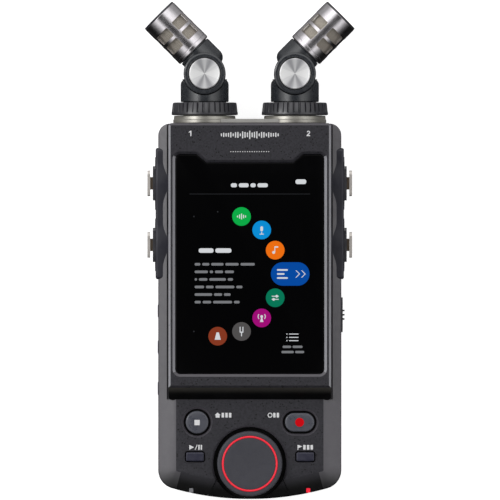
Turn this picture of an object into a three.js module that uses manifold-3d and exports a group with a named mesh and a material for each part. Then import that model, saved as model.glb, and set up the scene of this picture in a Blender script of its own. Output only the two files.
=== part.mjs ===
// Portable field recorder with two swivelling microphones and four combination jacks.
// It lies on its back: +X is its right-hand side, +Y points to the microphones and +Z comes
// out of the display. The flat back rests on z = 0. All sizes are millimetres.
import * as THREE from 'three';
import { mergeVertices } from 'three/addons/utils/BufferGeometryUtils.js';
import Module from 'manifold-3d';

const wasm = await Module();
wasm.setup();

// ---- Walls and clearances ----
const wall = 2;
const gap = 0.3;

// ---- What sets the thickness: jacks at both sides of a stack of cells and boards ----
const jackRadius = 11.2;
const bossWall = 1.8;
const bossFloor = 2.4;
const bossCover = 1.6;
const bossRadius = jackRadius + bossWall;
const jackHeight = bossFloor + bossRadius;
const cellRadius = 7.1;
const bayWall = 1.2;
const doorFlange = 1;
const doorFloor = wall + gap;
const doorTop = doorFloor + doorFlange;
const cellHeight = doorTop + gap + cellRadius;
const bayCeiling = cellHeight + cellRadius + gap;
const boardThickness = 1.2;
const boardBase = bayCeiling + bayWall + gap;
const boardTop = boardBase + boardThickness;
const encoderHeight = 2.1;
const wheelDepth = 4.5;
const wheelFloor = boardTop + encoderHeight + wall + 2 * gap;

// ---- What the body is wide enough for: a row of cells between the side keys ----
const cellCount = 4;
const cellGap = 0.5;
const controlFlange = 1;
const cellPitch = 2 * cellRadius + cellGap;
const bayHalf = (cellPitch * cellCount) / 2 + gap;
const leastSideX = bayHalf + bayWall + controlFlange + wall + 2 * gap;

// ---- Body ----
const bodyWidth = 77.6;
const bodyLength = 159.1;
const panelHeight = Math.max(wheelFloor + wheelDepth, jackHeight + bossRadius + bossCover);
const shoulderY = 53.5;
const shoulderRadius = 5;
const cornerRadius = 8;
const chinRadius = 121;
const frontChamfer = 7.6;
const frontChamferDrop = 3;
const rearChamfer = 1.5;
const splitHeight = 14;
const sideX = Math.max(bodyWidth / 2, leastSideX);
const chinY = shoulderY - bodyLength;

// ---- Jog wheel ----
const wheelRadius = 13.8;
const wheelMargin = 1.7;
const wheelChinMargin = 1.3;
const wheelProud = 3.9;
const wheelEdge = 0.6;
const wheelShaftRadius = 2.6;
const wheelRingInset = 1.7;
const wheelRingWidth = 1.1;
const wheelRingDepth = 1.2;
const wheelTop = panelHeight + wheelProud;
const wheelY = chinY + wheelChinMargin + wheelRadius;
const wheelCupRadius = wheelRadius + wheelMargin + wall;

// ---- Front buttons. A size is a width, a height, a corner radius and a clearance ----
const stopSize = [9.6, 9.6, 4.8, 0.9];
const recordSize = [12.5, 7.9, 3.95, 0.9];
const smallButtonSize = [7.6, 3.8, 0.7, 0.5];
const buttonProud = 1.1;
const buttonFlange = 1.2;
const buttonFlangeRim = 1.1;
const upperRowRise = 3.7;
const lowerRowRise = 2.9;
const upperRowY = wheelY + wheelRadius + upperRowRise;
const lowerRowY = wheelY + lowerRowRise;
const stopX = -(sideX - 16.5);
const recordX = sideX - 17.7;
const playX = -(wheelRadius + 9.4);
const markX = wheelRadius + 9.7;

// ---- Display ----
const bezelRise = 6.7;
const railWidth = 4.4;
const bezelFootMargin = 9.4;
const bezelSlope = 5.3;
const bezelCorner = 1.5;
const bezelEdge = 0.9;
const glassSideMargin = 3.2;
const glassLowerMargin = 6.1;
const glassUpperMargin = 13.4;
const glassCorner = 1.8;
const glassRecess = 0.7;
const glassThickness = 1.4;
const glassLedge = 0.6;
const notchHalfTop = 22.7;
const notchHalfFoot = 18.5;
const notchDepth = 3.6;
const rimWidth = 1.1;
const bezelHeight = panelHeight + bezelRise;
const bezelTopY = shoulderY + 0.1;
const bezelFootY = upperRowY + bezelFootMargin;
const bezelHalf = sideX - railWidth;
const glassHalf = bezelHalf - glassSideMargin;
const glassLowY = bezelFootY + bezelSlope + glassLowerMargin;
const glassHighY = bezelTopY - glassUpperMargin;
const glassTop = bezelHeight - glassRecess;
const glassBase = glassTop - glassThickness;

// ---- Input jacks on both sides ----
const jackUpperMargin = 25.3;
const jackDepth = 23;
const jackLipDepth = 1.2;
const jackLip = 1.5;
const plugGrooveWidth = 1.8;
const plugGrooveDepth = 13;
const phonePlugRadius = 3.3;
const phonePlugDepth = 19;
const bossGap = 0.1;
const plugGrooveOuter = jackRadius - jackLip;
const plugGrooveInner = plugGrooveOuter - plugGrooveWidth;
const jackUpperY = shoulderY - jackUpperMargin;
const jackPitch = 2 * bossRadius + bossGap;
const jackRows = [jackUpperY, jackUpperY - jackPitch];

// ---- Side panels round the jacks ----
const sidePanelProud = 1.1;
const sidePanelBase = 3.4;
const sidePanelDepth = 3.9;
const sidePanelTop = jackHeight + bossRadius - 0.9;
const sidePanelFaceX = sideX + sidePanelProud;
const sidePanelHighY = jackUpperY + bossRadius + 2;
const sidePanelLowY = jackUpperY - jackPitch - bossRadius - 1.6;

// ---- Release levers above each jack ----
const latchWidth = 14.5;
const latchHeight = 4.6;
const latchProud = 1.2;
const latchCorner = 1.2;
const leverWidth = 10.9;
const leverThickness = 1.2;
const leverHeight = 3.2;
const leverStemWidth = 5.3;
const leverStemHeight = 1.6;
const leverStemLength = 6.5;
const leverStandoff = 1.1;
const latchBase = jackHeight + jackRadius - latchHeight;
const latchFaceX = sidePanelFaceX + latchProud;
const leverZ = latchBase + latchHeight / 2;

// ---- Microphones ----
const micX = 19.15;
const micDrop = 12;
const collarRadius = 13.35;
const collarLength = 3;
const topPlateThickness = 1.6;
const topPlateMargin = 1.6;
const spigotRadius = 9;
const lockRingRadius = 14.1;
const lockRingLength = 5.3;
const lockRingRibs = 36;
const lockRingRibDepth = 0.55;
const postRadius = 10.25;
const postLength = 9.8;
const postShoulder = 2.5;
const pivotRise = 2.1;
const knuckleRadius = 8.95;
const knuckleProud = 1.8;
const pivotCapRadius = 6.6;
const pivotCapThickness = 1.6;
const tongueThickness = 2;
const armRadius = 7.8;
const armOffset = 3.8;
const armCorner = 3.8;
const armTail = 1.6;
const neckLength = 2;
const headStart = 10.1;
const headLength = 21.5;
const headRadius = 8.4;
const headWall = 1.1;
const headTip = 2.2;
const headEdge = 0.3;
const capsuleMargin = 0.5;
const windowRows = [4.8, 10.6];
const windowHeight = 4.45;
const windowSpan = 47;
const windowsAround = 5;
const micSplay = 45;
const micHeight = panelHeight - micDrop;
const knuckleFront = armRadius + knuckleProud;
const collarBaseY = shoulderY + 0.4;
const lockRingY = collarBaseY + collarLength + gap;
const postY = lockRingY + lockRingLength + gap;
const pivotY = postY + postLength + pivotRise;

// ---- Batteries, their bay and its door ----
const cellLength = 50.3;
const terminalRadius = 2.6;
const terminalLength = 1;
const contactSpace = 2.5;
const bayChinMargin = 8.5;
const doorLip = 2.3;
const doorRecess = 0.4;
const bayLowY = chinY + bayChinMargin;
const bayHighY = bayLowY + cellLength + contactSpace;

// ---- Boards and what is fitted to them ----
const boardMargin = 3.5;
const boardChinMargin = 9.6;
const boardShoulderMargin = 6;
const keypadMargin = 3.3;
const keypadRoom = 0.9;
const encoderSize = 13;
const socketWidth = 26;
const socketHeight = 3.1;
const socketDepth = 27;
const cardWidth = 24.4;
const cardThickness = 2.2;
const usbWidth = 8;
const usbHeight = 3.9;
const usbDepth = 7.6;
const usbShell = 0.4;
const usbCorner = 0.8;
const usbInnerCorner = 0.5;
const usbHoleCorner = 1;
const usbTongueWidth = 4.4;
const usbTongueThickness = 0.8;
const boardHalf = sideX - wall - boardMargin;
const keypadHalf = boardHalf - keypadMargin;
const keypadTop = panelHeight - wall - buttonFlange - gap - keypadRoom;
const socketY = wheelY + wheelCupRadius + socketWidth / 2;
const usbY = chinY + 17.6;

// ---- Side controls ----
const controlHeight = 14;
const controlCorner = 1.2;
const controlHoleCorner = 1.5;
const controlFlangeRim = 1.5;
const sideKeyLength = 5.4;
const sideKeyHeight = 6.4;
const sideKeyProud = 0.35;
const phonesBore = 1.8;
const phonesDepth = 14;
const powerLength = 14.8;
const powerHeight = 6.4;
const powerProud = 0.7;
const powerRidge = 0.8;
const powerRidgeWidth = 0.7;
const powerRidgeMargin = 0.8;
const powerRidgePitch = 1.8;
const powerTravel = 2;
const cardDoorLength = 28;
const cardDoorHeight = 8.4;
const cardDoorThickness = 1.3;
const phonesY = sidePanelLowY - 13.5;
const powerY = sidePanelLowY - 15.1;
const volumeRows = [sidePanelLowY - 28.8, sidePanelLowY - 46.4];
const cardDoorBase = boardTop - 2.6;

// ---- Back of the body ----
const insertRadius = 6;
const insertBore = 3.2;
const insertLength = 9;
const insertBoreDepth = 7;
const insertY = (bayHighY + sidePanelLowY) / 2 + 1;
const speakerRadius = 11;
const speakerThickness = 5;
const speakerSlotPitch = 3;
const speakerSlotLength = 12;
const speakerSlotWidth = 1.2;
const speakerSlotCorner = 0.5;
const speakerY = jackUpperY;
const screwHeadRadius = 2.4;
const screwHeadThickness = 1.5;
const screwRadius = 1.1;
const screwLength = 17;
const screwSink = 1.2;
const screwBossRadius = 3.3;
const screwUpperY = shoulderY - 6;
const screwLowerY = Math.max(bayHighY + bayWall, socketY + socketWidth / 2) + screwBossRadius + gap;
const screwUpperX = sideX - 7.8;
const screwLowerX = sideX - 8.8;

// ---- Lights in the chin ----
const lightX = 24.8;
const lightWidth = 1.7;
const lightLength = 1.9;
const lightCorner = 0.3;
const lightChinMargin = 0.15;
const lightRise = 0.9;
const lightDepth = 4.5;

const quarter = Math.PI / 2;
const far = 200;
const tiny = 1e-3;

// ---- Materials ----
function finish(color, roughness, metalness) {
  return new THREE.MeshStandardMaterial({ color, roughness, metalness });
}

const darkPlastic = finish(0x3b3d42, 0.6, 0);
const railPlastic = finish(0x6a6d73, 0.5, 0);
const blackPlastic = finish(0x1b1c1e, 0.5, 0);
const keyPlastic = finish(0x4b4d52, 0.45, 0);
const blackGlass = finish(0x08090a, 0.08, 0);
const greyMetal = finish(0x9a9890, 0.35, 1);
const silverMetal = finish(0xd6d6d2, 0.25, 1);
const smokedChrome = finish(0x55565a, 0.2, 1);
const steel = finish(0xb0b0b0, 0.4, 1);
const brass = finish(0xc0a050, 0.35, 1);
const circuitBoard = finish(0x1f5a34, 0.6, 0);
const redPlastic = finish(0xe62a3a, 0.35, 0);
const greyPlastic = finish(0x8a8c90, 0.4, 0);
const screenMesh = finish(0x9c968c, 0.5, 1);
const cellSkin = finish(0x2f3a30, 0.4, 0.3);

// ---- Outlines ----

// Keeps the points of an outline that are apart from one another.
function outline(path, divisions) {
  const kept = [];
  for (const point of path.getPoints(divisions)) {
    const last = kept[kept.length - 1];
    if (!last || last.distanceTo(point) > tiny) kept.push(point);
  }
  if (kept[0].distanceTo(kept[kept.length - 1]) < tiny) kept.pop();
  return new THREE.Shape(kept);
}

function roundedRectangle(x, y, width, height, radius) {
  const right = width / 2 - radius;
  const high = height / 2 - radius;
  const path = new THREE.Path();
  path.absarc(x + right, y + high, radius, 0, quarter);
  path.absarc(x - right, y + high, radius, quarter, 2 * quarter);
  path.absarc(x - right, y - high, radius, 2 * quarter, 3 * quarter);
  path.absarc(x + right, y - high, radius, 3 * quarter, 4 * quarter);
  return outline(path, 1);
}

function circle(x, y, radius, divisions = 14) {
  const path = new THREE.Path();
  path.absarc(x, y, radius, 0, 4 * quarter);
  return outline(path, divisions);
}

// The body seen from the front, drawn in by an inset. The chin is an arc and both of its
// corners are arcs that touch it. An overrun carries the straight sides past the shoulders.
function bodyOutline(inset, topRadius = cornerRadius, overrun = 0) {
  const half = sideX - inset;
  const top = shoulderY - inset + overrun;
  const shoulder = topRadius - inset;
  const corner = cornerRadius - inset;
  const sweep = chinRadius - inset;
  const centreY = chinY + chinRadius;
  const cornerX = half - corner;
  const lean = Math.asin(cornerX / (sweep - corner));
  const cornerY = centreY - (sweep - corner) * Math.cos(lean);
  const path = new THREE.Path();
  path.absarc(half - shoulder, top - shoulder, shoulder, 0, quarter);
  path.absarc(shoulder - half, top - shoulder, shoulder, quarter, 2 * quarter);
  path.absarc(-cornerX, cornerY, corner, 2 * quarter, 3 * quarter - lean);
  path.absarc(0, centreY, sweep, 3 * quarter - lean, 3 * quarter + lean);
  path.absarc(cornerX, cornerY, corner, 3 * quarter + lean, 4 * quarter);
  return outline(path, 4);
}

// The cover glass, whose upper edge steps down in the middle below the maker's plate.
function glassOutline(growth) {
  const half = glassHalf + growth;
  const low = glassLowY - growth;
  const high = glassHighY + growth;
  const corner = glassCorner;
  const path = new THREE.Path();
  path.absarc(half - corner, high - corner, corner, 0, quarter);
  path.lineTo(notchHalfTop, high);
  path.lineTo(notchHalfFoot, high - notchDepth);
  path.lineTo(-notchHalfFoot, high - notchDepth);
  path.lineTo(-notchHalfTop, high);
  path.absarc(corner - half, high - corner, corner, quarter, 2 * quarter);
  path.absarc(corner - half, low + corner, corner, 2 * quarter, 3 * quarter);
  path.absarc(half - corner, low + corner, corner, 3 * quarter, 4 * quarter);
  return outline(path, 2);
}

// ---- Solids ----

function solidOf(geometry) {
  geometry.deleteAttribute('normal');
  geometry.deleteAttribute('uv');
  const merged = mergeVertices(geometry, tiny / 10);
  const vertProperties = new Float32Array(merged.attributes.position.array);
  const triVerts = new Uint32Array(merged.index.array);
  return new wasm.Manifold(new wasm.Mesh({ numProp: 3, vertProperties, triVerts }));
}

function extrude(shape, low, high) {
  const geometry = new THREE.ExtrudeGeometry(shape, { depth: high - low, bevelEnabled: false });
  return solidOf(geometry.translate(0, 0, low));
}

// An extrusion whose outline draws in by an inset over a rise at both of its ends.
function chamfered(shape, low, high, inset, rise) {
  const geometry = new THREE.ExtrudeGeometry(shape, {
    depth: high - low - 2 * rise,
    bevelSize: inset,
    bevelOffset: -inset,
    bevelThickness: rise,
    bevelSegments: 1,
  });
  return solidOf(geometry.translate(0, 0, low + rise));
}

function box(x, y, z) {
  const geometry = new THREE.BoxGeometry(Math.abs(x[1] - x[0]), y[1] - y[0], z[1] - z[0]);
  return solidOf(geometry.translate((x[0] + x[1]) / 2, (y[0] + y[1]) / 2, (z[0] + z[1]) / 2));
}

// Cylinders along each axis, given where they start and end and their centre on the others.
function rodZ(radius, z, x, y, segments = 24) {
  const geometry = new THREE.CylinderGeometry(radius, radius, z[1] - z[0], segments);
  return solidOf(geometry.rotateX(quarter).translate(x, y, (z[0] + z[1]) / 2));
}

function rodY(radius, y, x, z, segments = 24) {
  const geometry = new THREE.CylinderGeometry(radius, radius, y[1] - y[0], segments);
  return solidOf(geometry.translate(x, (y[0] + y[1]) / 2, z));
}

function rodX(radius, x, y, z, segments = 24) {
  const geometry = new THREE.CylinderGeometry(radius, radius, Math.abs(x[1] - x[0]), segments);
  return solidOf(geometry.rotateZ(quarter).translate((x[0] + x[1]) / 2, y, z));
}

// A shape drawn in the Y-Z plane and extruded along X.
function extrudeX(shape, x) {
  const low = Math.min(x[0], x[1]);
  const depth = Math.abs(x[1] - x[0]);
  const geometry = new THREE.ExtrudeGeometry(shape, { depth, bevelEnabled: false });
  const turn = new THREE.Matrix4().makeBasis(
    new THREE.Vector3(0, 1, 0), new THREE.Vector3(0, 0, 1), new THREE.Vector3(1, 0, 0));
  return solidOf(geometry.applyMatrix4(turn).translate(low, 0, 0));
}

// A turned solid about the Y axis, or about a line beside it.
function lathe(points, segments = 24, x = 0) {
  const profile = points.map(([radius, y]) => new THREE.Vector2(radius, y));
  return solidOf(new THREE.LatheGeometry(profile, segments).translate(x, 0, 0));
}

const recorder = new THREE.Group();
recorder.name = 'recorder';

function addPart(name, solid, material, parent = recorder) {
  const { vertProperties, triVerts } = solid.getMesh();
  const geometry = new THREE.BufferGeometry();
  geometry.setAttribute('position', new THREE.BufferAttribute(vertProperties, 3));
  geometry.setIndex(new THREE.BufferAttribute(triVerts, 1));
  geometry.computeVertexNormals();
  const mesh = new THREE.Mesh(geometry, material);
  mesh.name = name;
  parent.add(mesh);
  return mesh;
}

const sides = [{ name: 'left', side: -1 }, { name: 'right', side: 1 }];

// ---- Body form shared by both case halves and what seats on them ----

function frontForm(lift) {
  const tall = bodyOutline(0, cornerRadius, 2 * frontChamfer);
  return chamfered(tall, -far, panelHeight + lift, frontChamfer, frontChamferDrop);
}

function bodyForm() {
  const back = chamfered(bodyOutline(0, shoulderRadius), 0, far, rearChamfer, rearChamfer);
  return back.intersect(frontForm(0));
}

// A pair of solids on both sides, such as what each side panel needs cut away.
function bothSides(make) {
  return make(-1).add(make(1));
}

function span(side, from, to) {
  return [side * from, side * to];
}

// The side panel with its two round bosses, grown by a clearance.
function sidePanelForm(side, growth) {
  const innerX = sideX - sidePanelDepth + sidePanelProud - growth;
  const y = [sidePanelLowY - growth, sidePanelHighY + growth];
  const z = [sidePanelBase - growth, sidePanelTop + growth];
  let form = box(span(side, innerX, sidePanelFaceX + growth), y, z);
  for (const rowY of jackRows) {
    const x = span(side, innerX - wall, sidePanelFaceX + growth);
    form = form.add(rodX(bossRadius + growth, x, rowY, jackHeight, 32));
  }
  return form;
}

// Where the sockets, keys and switch come through the side walls.
function sideHoles() {
  const outside = sideX + 5;
  const inside = sideX - wall - 5;
  let holes = rodX(sideKeyLength / 2 + gap, [-outside, -inside], phonesY, controlHeight, 16);
  const tall = sideKeyHeight + 2 * gap;
  for (const y of volumeRows) {
    const key = roundedRectangle(y, controlHeight, sideKeyLength + 2 * gap, tall, controlHoleCorner);
    holes = holes.add(extrudeX(key, [-outside, -inside]));
  }
  const slotLength = powerLength + 2 * (powerTravel + gap);
  const slot = roundedRectangle(
    powerY, controlHeight, slotLength, powerHeight + 2 * gap, controlHoleCorner);
  holes = holes.add(extrudeX(slot, [inside, outside]));
  const usb = roundedRectangle(
    usbY, boardTop + gap + usbHeight / 2, usbWidth + 2 * gap, usbHeight + 2 * gap, usbHoleCorner);
  holes = holes.add(extrudeX(usb, [inside, outside]));
  const doorY = [socketY - cardDoorLength / 2 - gap, socketY + cardDoorLength / 2 + gap];
  const doorZ = [cardDoorBase - gap, cardDoorBase + cardDoorHeight + gap];
  return holes.add(box([inside, outside], doorY, doorZ));
}

function screwPlaces() {
  return [
    [-screwUpperX, screwUpperY],
    [screwUpperX, screwUpperY],
    [-screwLowerX, screwLowerY],
    [screwLowerX, screwLowerY],
  ];
}

// ---- Rear case: a tray with the battery bay, screw bosses and the door's track ----

function doorTrack() {
  const plateHalf = bayHalf - doorLip;
  const way = [chinY - far, bayHighY];
  const mouth = box([-plateHalf, plateHalf], way, [-far, doorTop]);
  return mouth.add(box([-bayHalf, bayHalf], way, [wall, doorTop + gap]));
}

function speakerSlots() {
  let slots = null;
  for (let row = -2; row <= 2; row += 1) {
    const slotY = speakerY + row * speakerSlotPitch;
    const slot = roundedRectangle(0, slotY, speakerSlotLength, speakerSlotWidth, speakerSlotCorner);
    const cut = extrude(slot, -1, wall + 1);
    slots = slots ? slots.add(cut) : cut;
  }
  return slots;
}

function rearCase() {
  const top = splitHeight - gap / 2;
  let solid = bodyForm().intersect(box([-far, far], [-far, far], [-1, top]));
  solid = solid.subtract(extrude(bodyOutline(wall), wall, far));
  const bay = box(
    [-bayHalf - bayWall, bayHalf + bayWall],
    [bayLowY - bayWall, bayHighY + bayWall],
    [wall / 2, bayCeiling + bayWall]);
  solid = solid.add(bay.intersect(extrude(bodyOutline(wall + gap), 0, far)));
  for (const [x, y] of screwPlaces()) solid = solid.add(rodZ(screwBossRadius, [wall / 2, top], x, y, 12));
  solid = solid.add(rodZ(insertRadius + gap + wall, [wall / 2, insertLength - gap], 0, insertY));
  solid = solid.subtract(box([-bayHalf, bayHalf], [bayLowY, bayHighY], [wall, bayCeiling]));
  solid = solid.subtract(doorTrack());
  solid = solid.subtract(rodZ(insertRadius + gap, [-1, far], 0, insertY));
  for (const [x, y] of screwPlaces()) {
    const headRoom = screwSink + screwHeadThickness + gap;
    solid = solid.subtract(rodZ(screwHeadRadius + gap, [-1, headRoom], x, y, 12));
    solid = solid.subtract(rodZ(screwRadius + gap, [-1, far], x, y, 8));
  }
  solid = solid.subtract(speakerSlots());
  solid = solid.subtract(bothSides((side) => sidePanelForm(side, gap)));
  return solid.subtract(sideHoles());
}

// ---- Front case: panel, chamfer, wheel cup, button holes and screw bosses ----

const buttons = [
  { name: 'stop_button', x: stopX, y: upperRowY, size: stopSize },
  { name: 'record_button', x: recordX, y: upperRowY, size: recordSize },
  { name: 'play_button', x: playX, y: lowerRowY, size: smallButtonSize },
  { name: 'mark_button', x: markX, y: lowerRowY, size: smallButtonSize },
];

function buttonOutline({ x, y, size }, growth) {
  const [width, height, radius] = size;
  return roundedRectangle(x, y, width + 2 * growth, height + 2 * growth, radius + growth);
}

function lightOutline(side, growth) {
  const drop = chinRadius - Math.sqrt(chinRadius ** 2 - lightX ** 2);
  const y = chinY + drop + lightChinMargin + lightLength / 2;
  const width = lightWidth + 2 * growth;
  return roundedRectangle(side * lightX, y, width, lightLength + 2 * growth, lightCorner);
}

function frontCase() {
  const base = splitHeight + gap / 2;
  const everywhere = [-far, far];
  let solid = bodyForm().intersect(box(everywhere, everywhere, [base, far]));
  const hollow = chamfered(
    bodyOutline(wall), -far, panelHeight - wall, frontChamfer - wall, frontChamferDrop);
  solid = solid.subtract(hollow);
  const cup = rodZ(wheelCupRadius, [wheelFloor - wall, panelHeight - wall / 2], 0, wheelY, 32);
  solid = solid.add(cup.intersect(bodyForm()));
  for (const [x, y] of screwPlaces()) {
    const post = rodZ(screwBossRadius, [base, panelHeight - wall / 2], x, y, 12);
    solid = solid.add(post.intersect(bodyForm()));
    const tipZ = screwSink + screwHeadThickness + screwLength + 1;
    solid = solid.subtract(rodZ(screwRadius + gap, [0, tipZ], x, y, 8));
  }
  solid = solid.subtract(rodZ(wheelRadius + wheelMargin, [wheelFloor, far], 0, wheelY, 40));
  solid = solid.subtract(rodZ(wheelShaftRadius + gap, [0, far], 0, wheelY, 12));
  for (const button of buttons) {
    const clearance = button.size[3];
    solid = solid.subtract(extrude(buttonOutline(button, clearance), panelHeight - 2 * wall, far));
  }
  for (const { side } of sides) {
    solid = solid.subtract(extrude(lightOutline(side, gap), panelHeight - lightDepth - wall, far));
  }
  solid = solid.subtract(bothSides((side) => sidePanelForm(side, gap)));
  return solid.subtract(sideHoles());
}

// ---- Display: bezel, cover glass and screen module ----

function displayBezel() {
  const highY = bezelTopY;
  const lowY = bezelFootY;
  const base = panelHeight - frontChamferDrop;
  const length = highY - lowY;
  const face = roundedRectangle(0, (highY + lowY) / 2, 2 * bezelHalf, length, bezelCorner);
  let solid = chamfered(face, base - bezelRise, bezelHeight, bezelEdge, bezelEdge);
  const profile = new THREE.Shape();
  profile.moveTo(highY + 1, base);
  profile.lineTo(highY + 1, bezelHeight + 1);
  profile.lineTo(lowY + bezelSlope + bezelEdge + 1, bezelHeight + 1);
  profile.lineTo(lowY + bezelSlope + bezelEdge, bezelHeight);
  profile.lineTo(lowY + bezelSlope, bezelHeight - bezelEdge);
  profile.lineTo(lowY, panelHeight);
  profile.lineTo(lowY - 1, base);
  solid = solid.intersect(extrudeX(profile, [-far, far]));
  solid = solid.subtract(frontForm(gap));
  const window = new THREE.ExtrudeGeometry(glassOutline(gap), {
    depth: far,
    bevelSize: -rimWidth,
    bevelOffset: rimWidth,
    bevelThickness: glassRecess,
    bevelSegments: 1,
  });
  solid = solid.subtract(solidOf(window.translate(0, 0, bezelHeight + tiny - far - glassRecess)));
  const ledge = gap + glassLedge;
  return solid.subtract(box(
    [-glassHalf - ledge, glassHalf + ledge],
    [glassLowY - ledge, glassHighY + ledge],
    [0, glassBase - gap]));
}

function screenModule() {
  const half = glassHalf - gap;
  const y = [glassLowY + gap, glassHighY - notchDepth - gap];
  return box([-half, half], y, [panelHeight + 2 * gap, glassBase - gap]);
}

// ---- Side panels, combination jacks and their release levers ----

function latchForm(side, rowY) {
  const shape = roundedRectangle(rowY, leverZ, latchWidth, latchHeight, latchCorner);
  return extrudeX(shape, span(side, sidePanelFaceX - wall, latchFaceX));
}

function sidePanel(side) {
  let solid = sidePanelForm(side, 0);
  for (const rowY of jackRows) {
    const through = span(side, 0, sidePanelFaceX + 1);
    solid = solid.subtract(rodX(jackRadius + gap, through, rowY, jackHeight));
    const latchRoom = roundedRectangle(
      rowY, leverZ, latchWidth + 2 * gap, latchHeight + 2 * gap, latchCorner);
    solid = solid.subtract(extrudeX(latchRoom, through));
  }
  return solid;
}

function leverSlot(side, rowY, growth) {
  const y = [rowY - leverStemWidth / 2 - growth, rowY + leverStemWidth / 2 + growth];
  const z = [leverZ - leverStemHeight / 2 - growth, leverZ + leverStemHeight / 2 + growth];
  const depth = leverStemLength + growth * 4;
  return box(span(side, latchFaceX + leverStandoff - depth, latchFaceX + leverStandoff + tiny), y, z);
}

// A socket for both plug sizes: a ring groove round a core with a phone-plug bore.
function comboJack(side, rowY) {
  const faceX = sidePanelFaceX + gap;
  const backX = faceX - jackDepth;
  const coreX = faceX - jackLipDepth;
  let solid = rodX(jackRadius, span(side, backX, faceX), rowY, jackHeight);
  solid = solid.add(latchForm(side, rowY));
  solid = solid.subtract(rodX(plugGrooveOuter, span(side, coreX, faceX + 1), rowY, jackHeight));
  const groove = span(side, faceX - plugGrooveDepth, faceX + 1);
  const ring = rodX(plugGrooveOuter, groove, rowY, jackHeight)
    .subtract(rodX(plugGrooveInner, span(side, 0, faceX + 2), rowY, jackHeight));
  solid = solid.subtract(ring);
  const bore = span(side, coreX - phonePlugDepth, faceX + 1);
  solid = solid.subtract(rodX(phonePlugRadius, bore, rowY, jackHeight, 12));
  return solid.subtract(leverSlot(side, rowY, gap));
}

function releaseLever(side, rowY) {
  const backX = latchFaceX + leverStandoff;
  const plate = roundedRectangle(rowY, leverZ, leverWidth, leverHeight, leverHeight / 2);
  return extrudeX(plate, span(side, backX, backX + leverThickness)).add(leverSlot(side, rowY, 0));
}

// ---- Jog wheel with its lit ring and encoder ----

function ringGroove(growth) {
  const outer = wheelRadius - wheelRingInset + growth;
  const inner = wheelRadius - wheelRingInset - wheelRingWidth - growth;
  const shape = circle(0, wheelY, outer);
  shape.holes.push(circle(0, wheelY, inner));
  return extrude(shape, wheelTop - wheelRingDepth - growth, wheelTop + growth * 4);
}

function jogWheel() {
  const base = wheelFloor + 2 * gap;
  const disc = chamfered(circle(0, wheelY, wheelRadius, 20), base, wheelTop, wheelEdge, wheelEdge);
  const shaft = rodZ(wheelShaftRadius, [boardTop + 2 * gap, base + 1], 0, wheelY, 12);
  return disc.add(shaft).subtract(ringGroove(gap));
}

function wheelEncoder() {
  const half = encoderSize / 2;
  const z = [boardTop + gap, boardTop + gap + encoderHeight];
  const body = box([-half, half], [wheelY - half, wheelY + half], z);
  return body.subtract(rodZ(wheelShaftRadius + gap, [0, far], 0, wheelY, 12));
}

// ---- Front buttons: a cap with a flange that stays behind the panel ----

function frontButton(button) {
  const under = panelHeight - wall - gap;
  const cap = extrude(buttonOutline(button, 0), under - buttonFlange, panelHeight + buttonProud);
  const flange = buttonOutline(button, button.size[3] + buttonFlangeRim);
  return cap.add(extrude(flange, under - buttonFlange, under));
}

// ---- Side controls ----

function phonesJack() {
  const outer = sideX + sideKeyProud;
  const body = rodX(sideKeyLength / 2, [-outer, -outer + phonesDepth], phonesY, controlHeight, 16);
  const bore = [-outer - 1, -outer + phonesDepth - 1];
  return body.subtract(rodX(phonesBore, bore, phonesY, controlHeight, 12));
}

function volumeKey(y) {
  const outer = -sideX - sideKeyProud;
  const under = -sideX + wall + gap;
  const inner = under + controlFlange;
  const rim = 2 * controlFlangeRim;
  const cap = roundedRectangle(y, controlHeight, sideKeyLength, sideKeyHeight, controlCorner);
  const flange = roundedRectangle(
    y, controlHeight, sideKeyLength + rim, sideKeyHeight + rim, controlHoleCorner);
  return extrudeX(cap, [outer, inner]).add(extrudeX(flange, [under, inner]));
}

function powerSlider() {
  const under = sideX - wall - gap;
  const inner = under - controlFlange;
  const cap = roundedRectangle(powerY, controlHeight, powerLength, powerHeight, controlCorner);
  const reach = powerLength + 2 * (2 * powerTravel + 1);
  const tall = powerHeight + 2 * controlFlangeRim;
  const flange = roundedRectangle(powerY, controlHeight, reach, tall, controlHoleCorner);
  let solid = extrudeX(cap, [inner, sideX + powerProud]);
  solid = solid.add(extrudeX(flange, [inner, under]));
  for (const step of [-1, 0, 1]) {
    const y = powerY + step * powerRidgePitch;
    const halfWidth = powerRidgeWidth / 2;
    const half = powerHeight / 2 - powerRidgeMargin;
    solid = solid.add(box(
      [sideX, sideX + powerProud + powerRidge], [y - halfWidth, y + halfWidth],
      [controlHeight - half, controlHeight + half]));
  }
  return solid;
}

// A flap whose lower edge is round about its hinge line.
function cardDoor() {
  const half = cardDoorThickness / 2;
  const x = [sideX - cardDoorThickness, sideX];
  const y = [socketY - cardDoorLength / 2, socketY + cardDoorLength / 2];
  const plate = box(x, y, [cardDoorBase + half, cardDoorBase + cardDoorHeight]);
  return plate.add(rodY(half, y, sideX - half, cardDoorBase + half, 12));
}

function cardSocket() {
  const mouthX = sideX - wall - 1;
  const z = boardTop + gap;
  const body = box(
    [mouthX - socketDepth, mouthX],
    [socketY - socketWidth / 2, socketY + socketWidth / 2],
    [z, z + socketHeight]);
  const slotLow = z + (socketHeight - cardThickness) / 2;
  return body.subtract(box(
    [mouthX - socketDepth + 2, mouthX + 1],
    [socketY - cardWidth / 2, socketY + cardWidth / 2],
    [slotLow, slotLow + cardThickness]));
}

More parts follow.
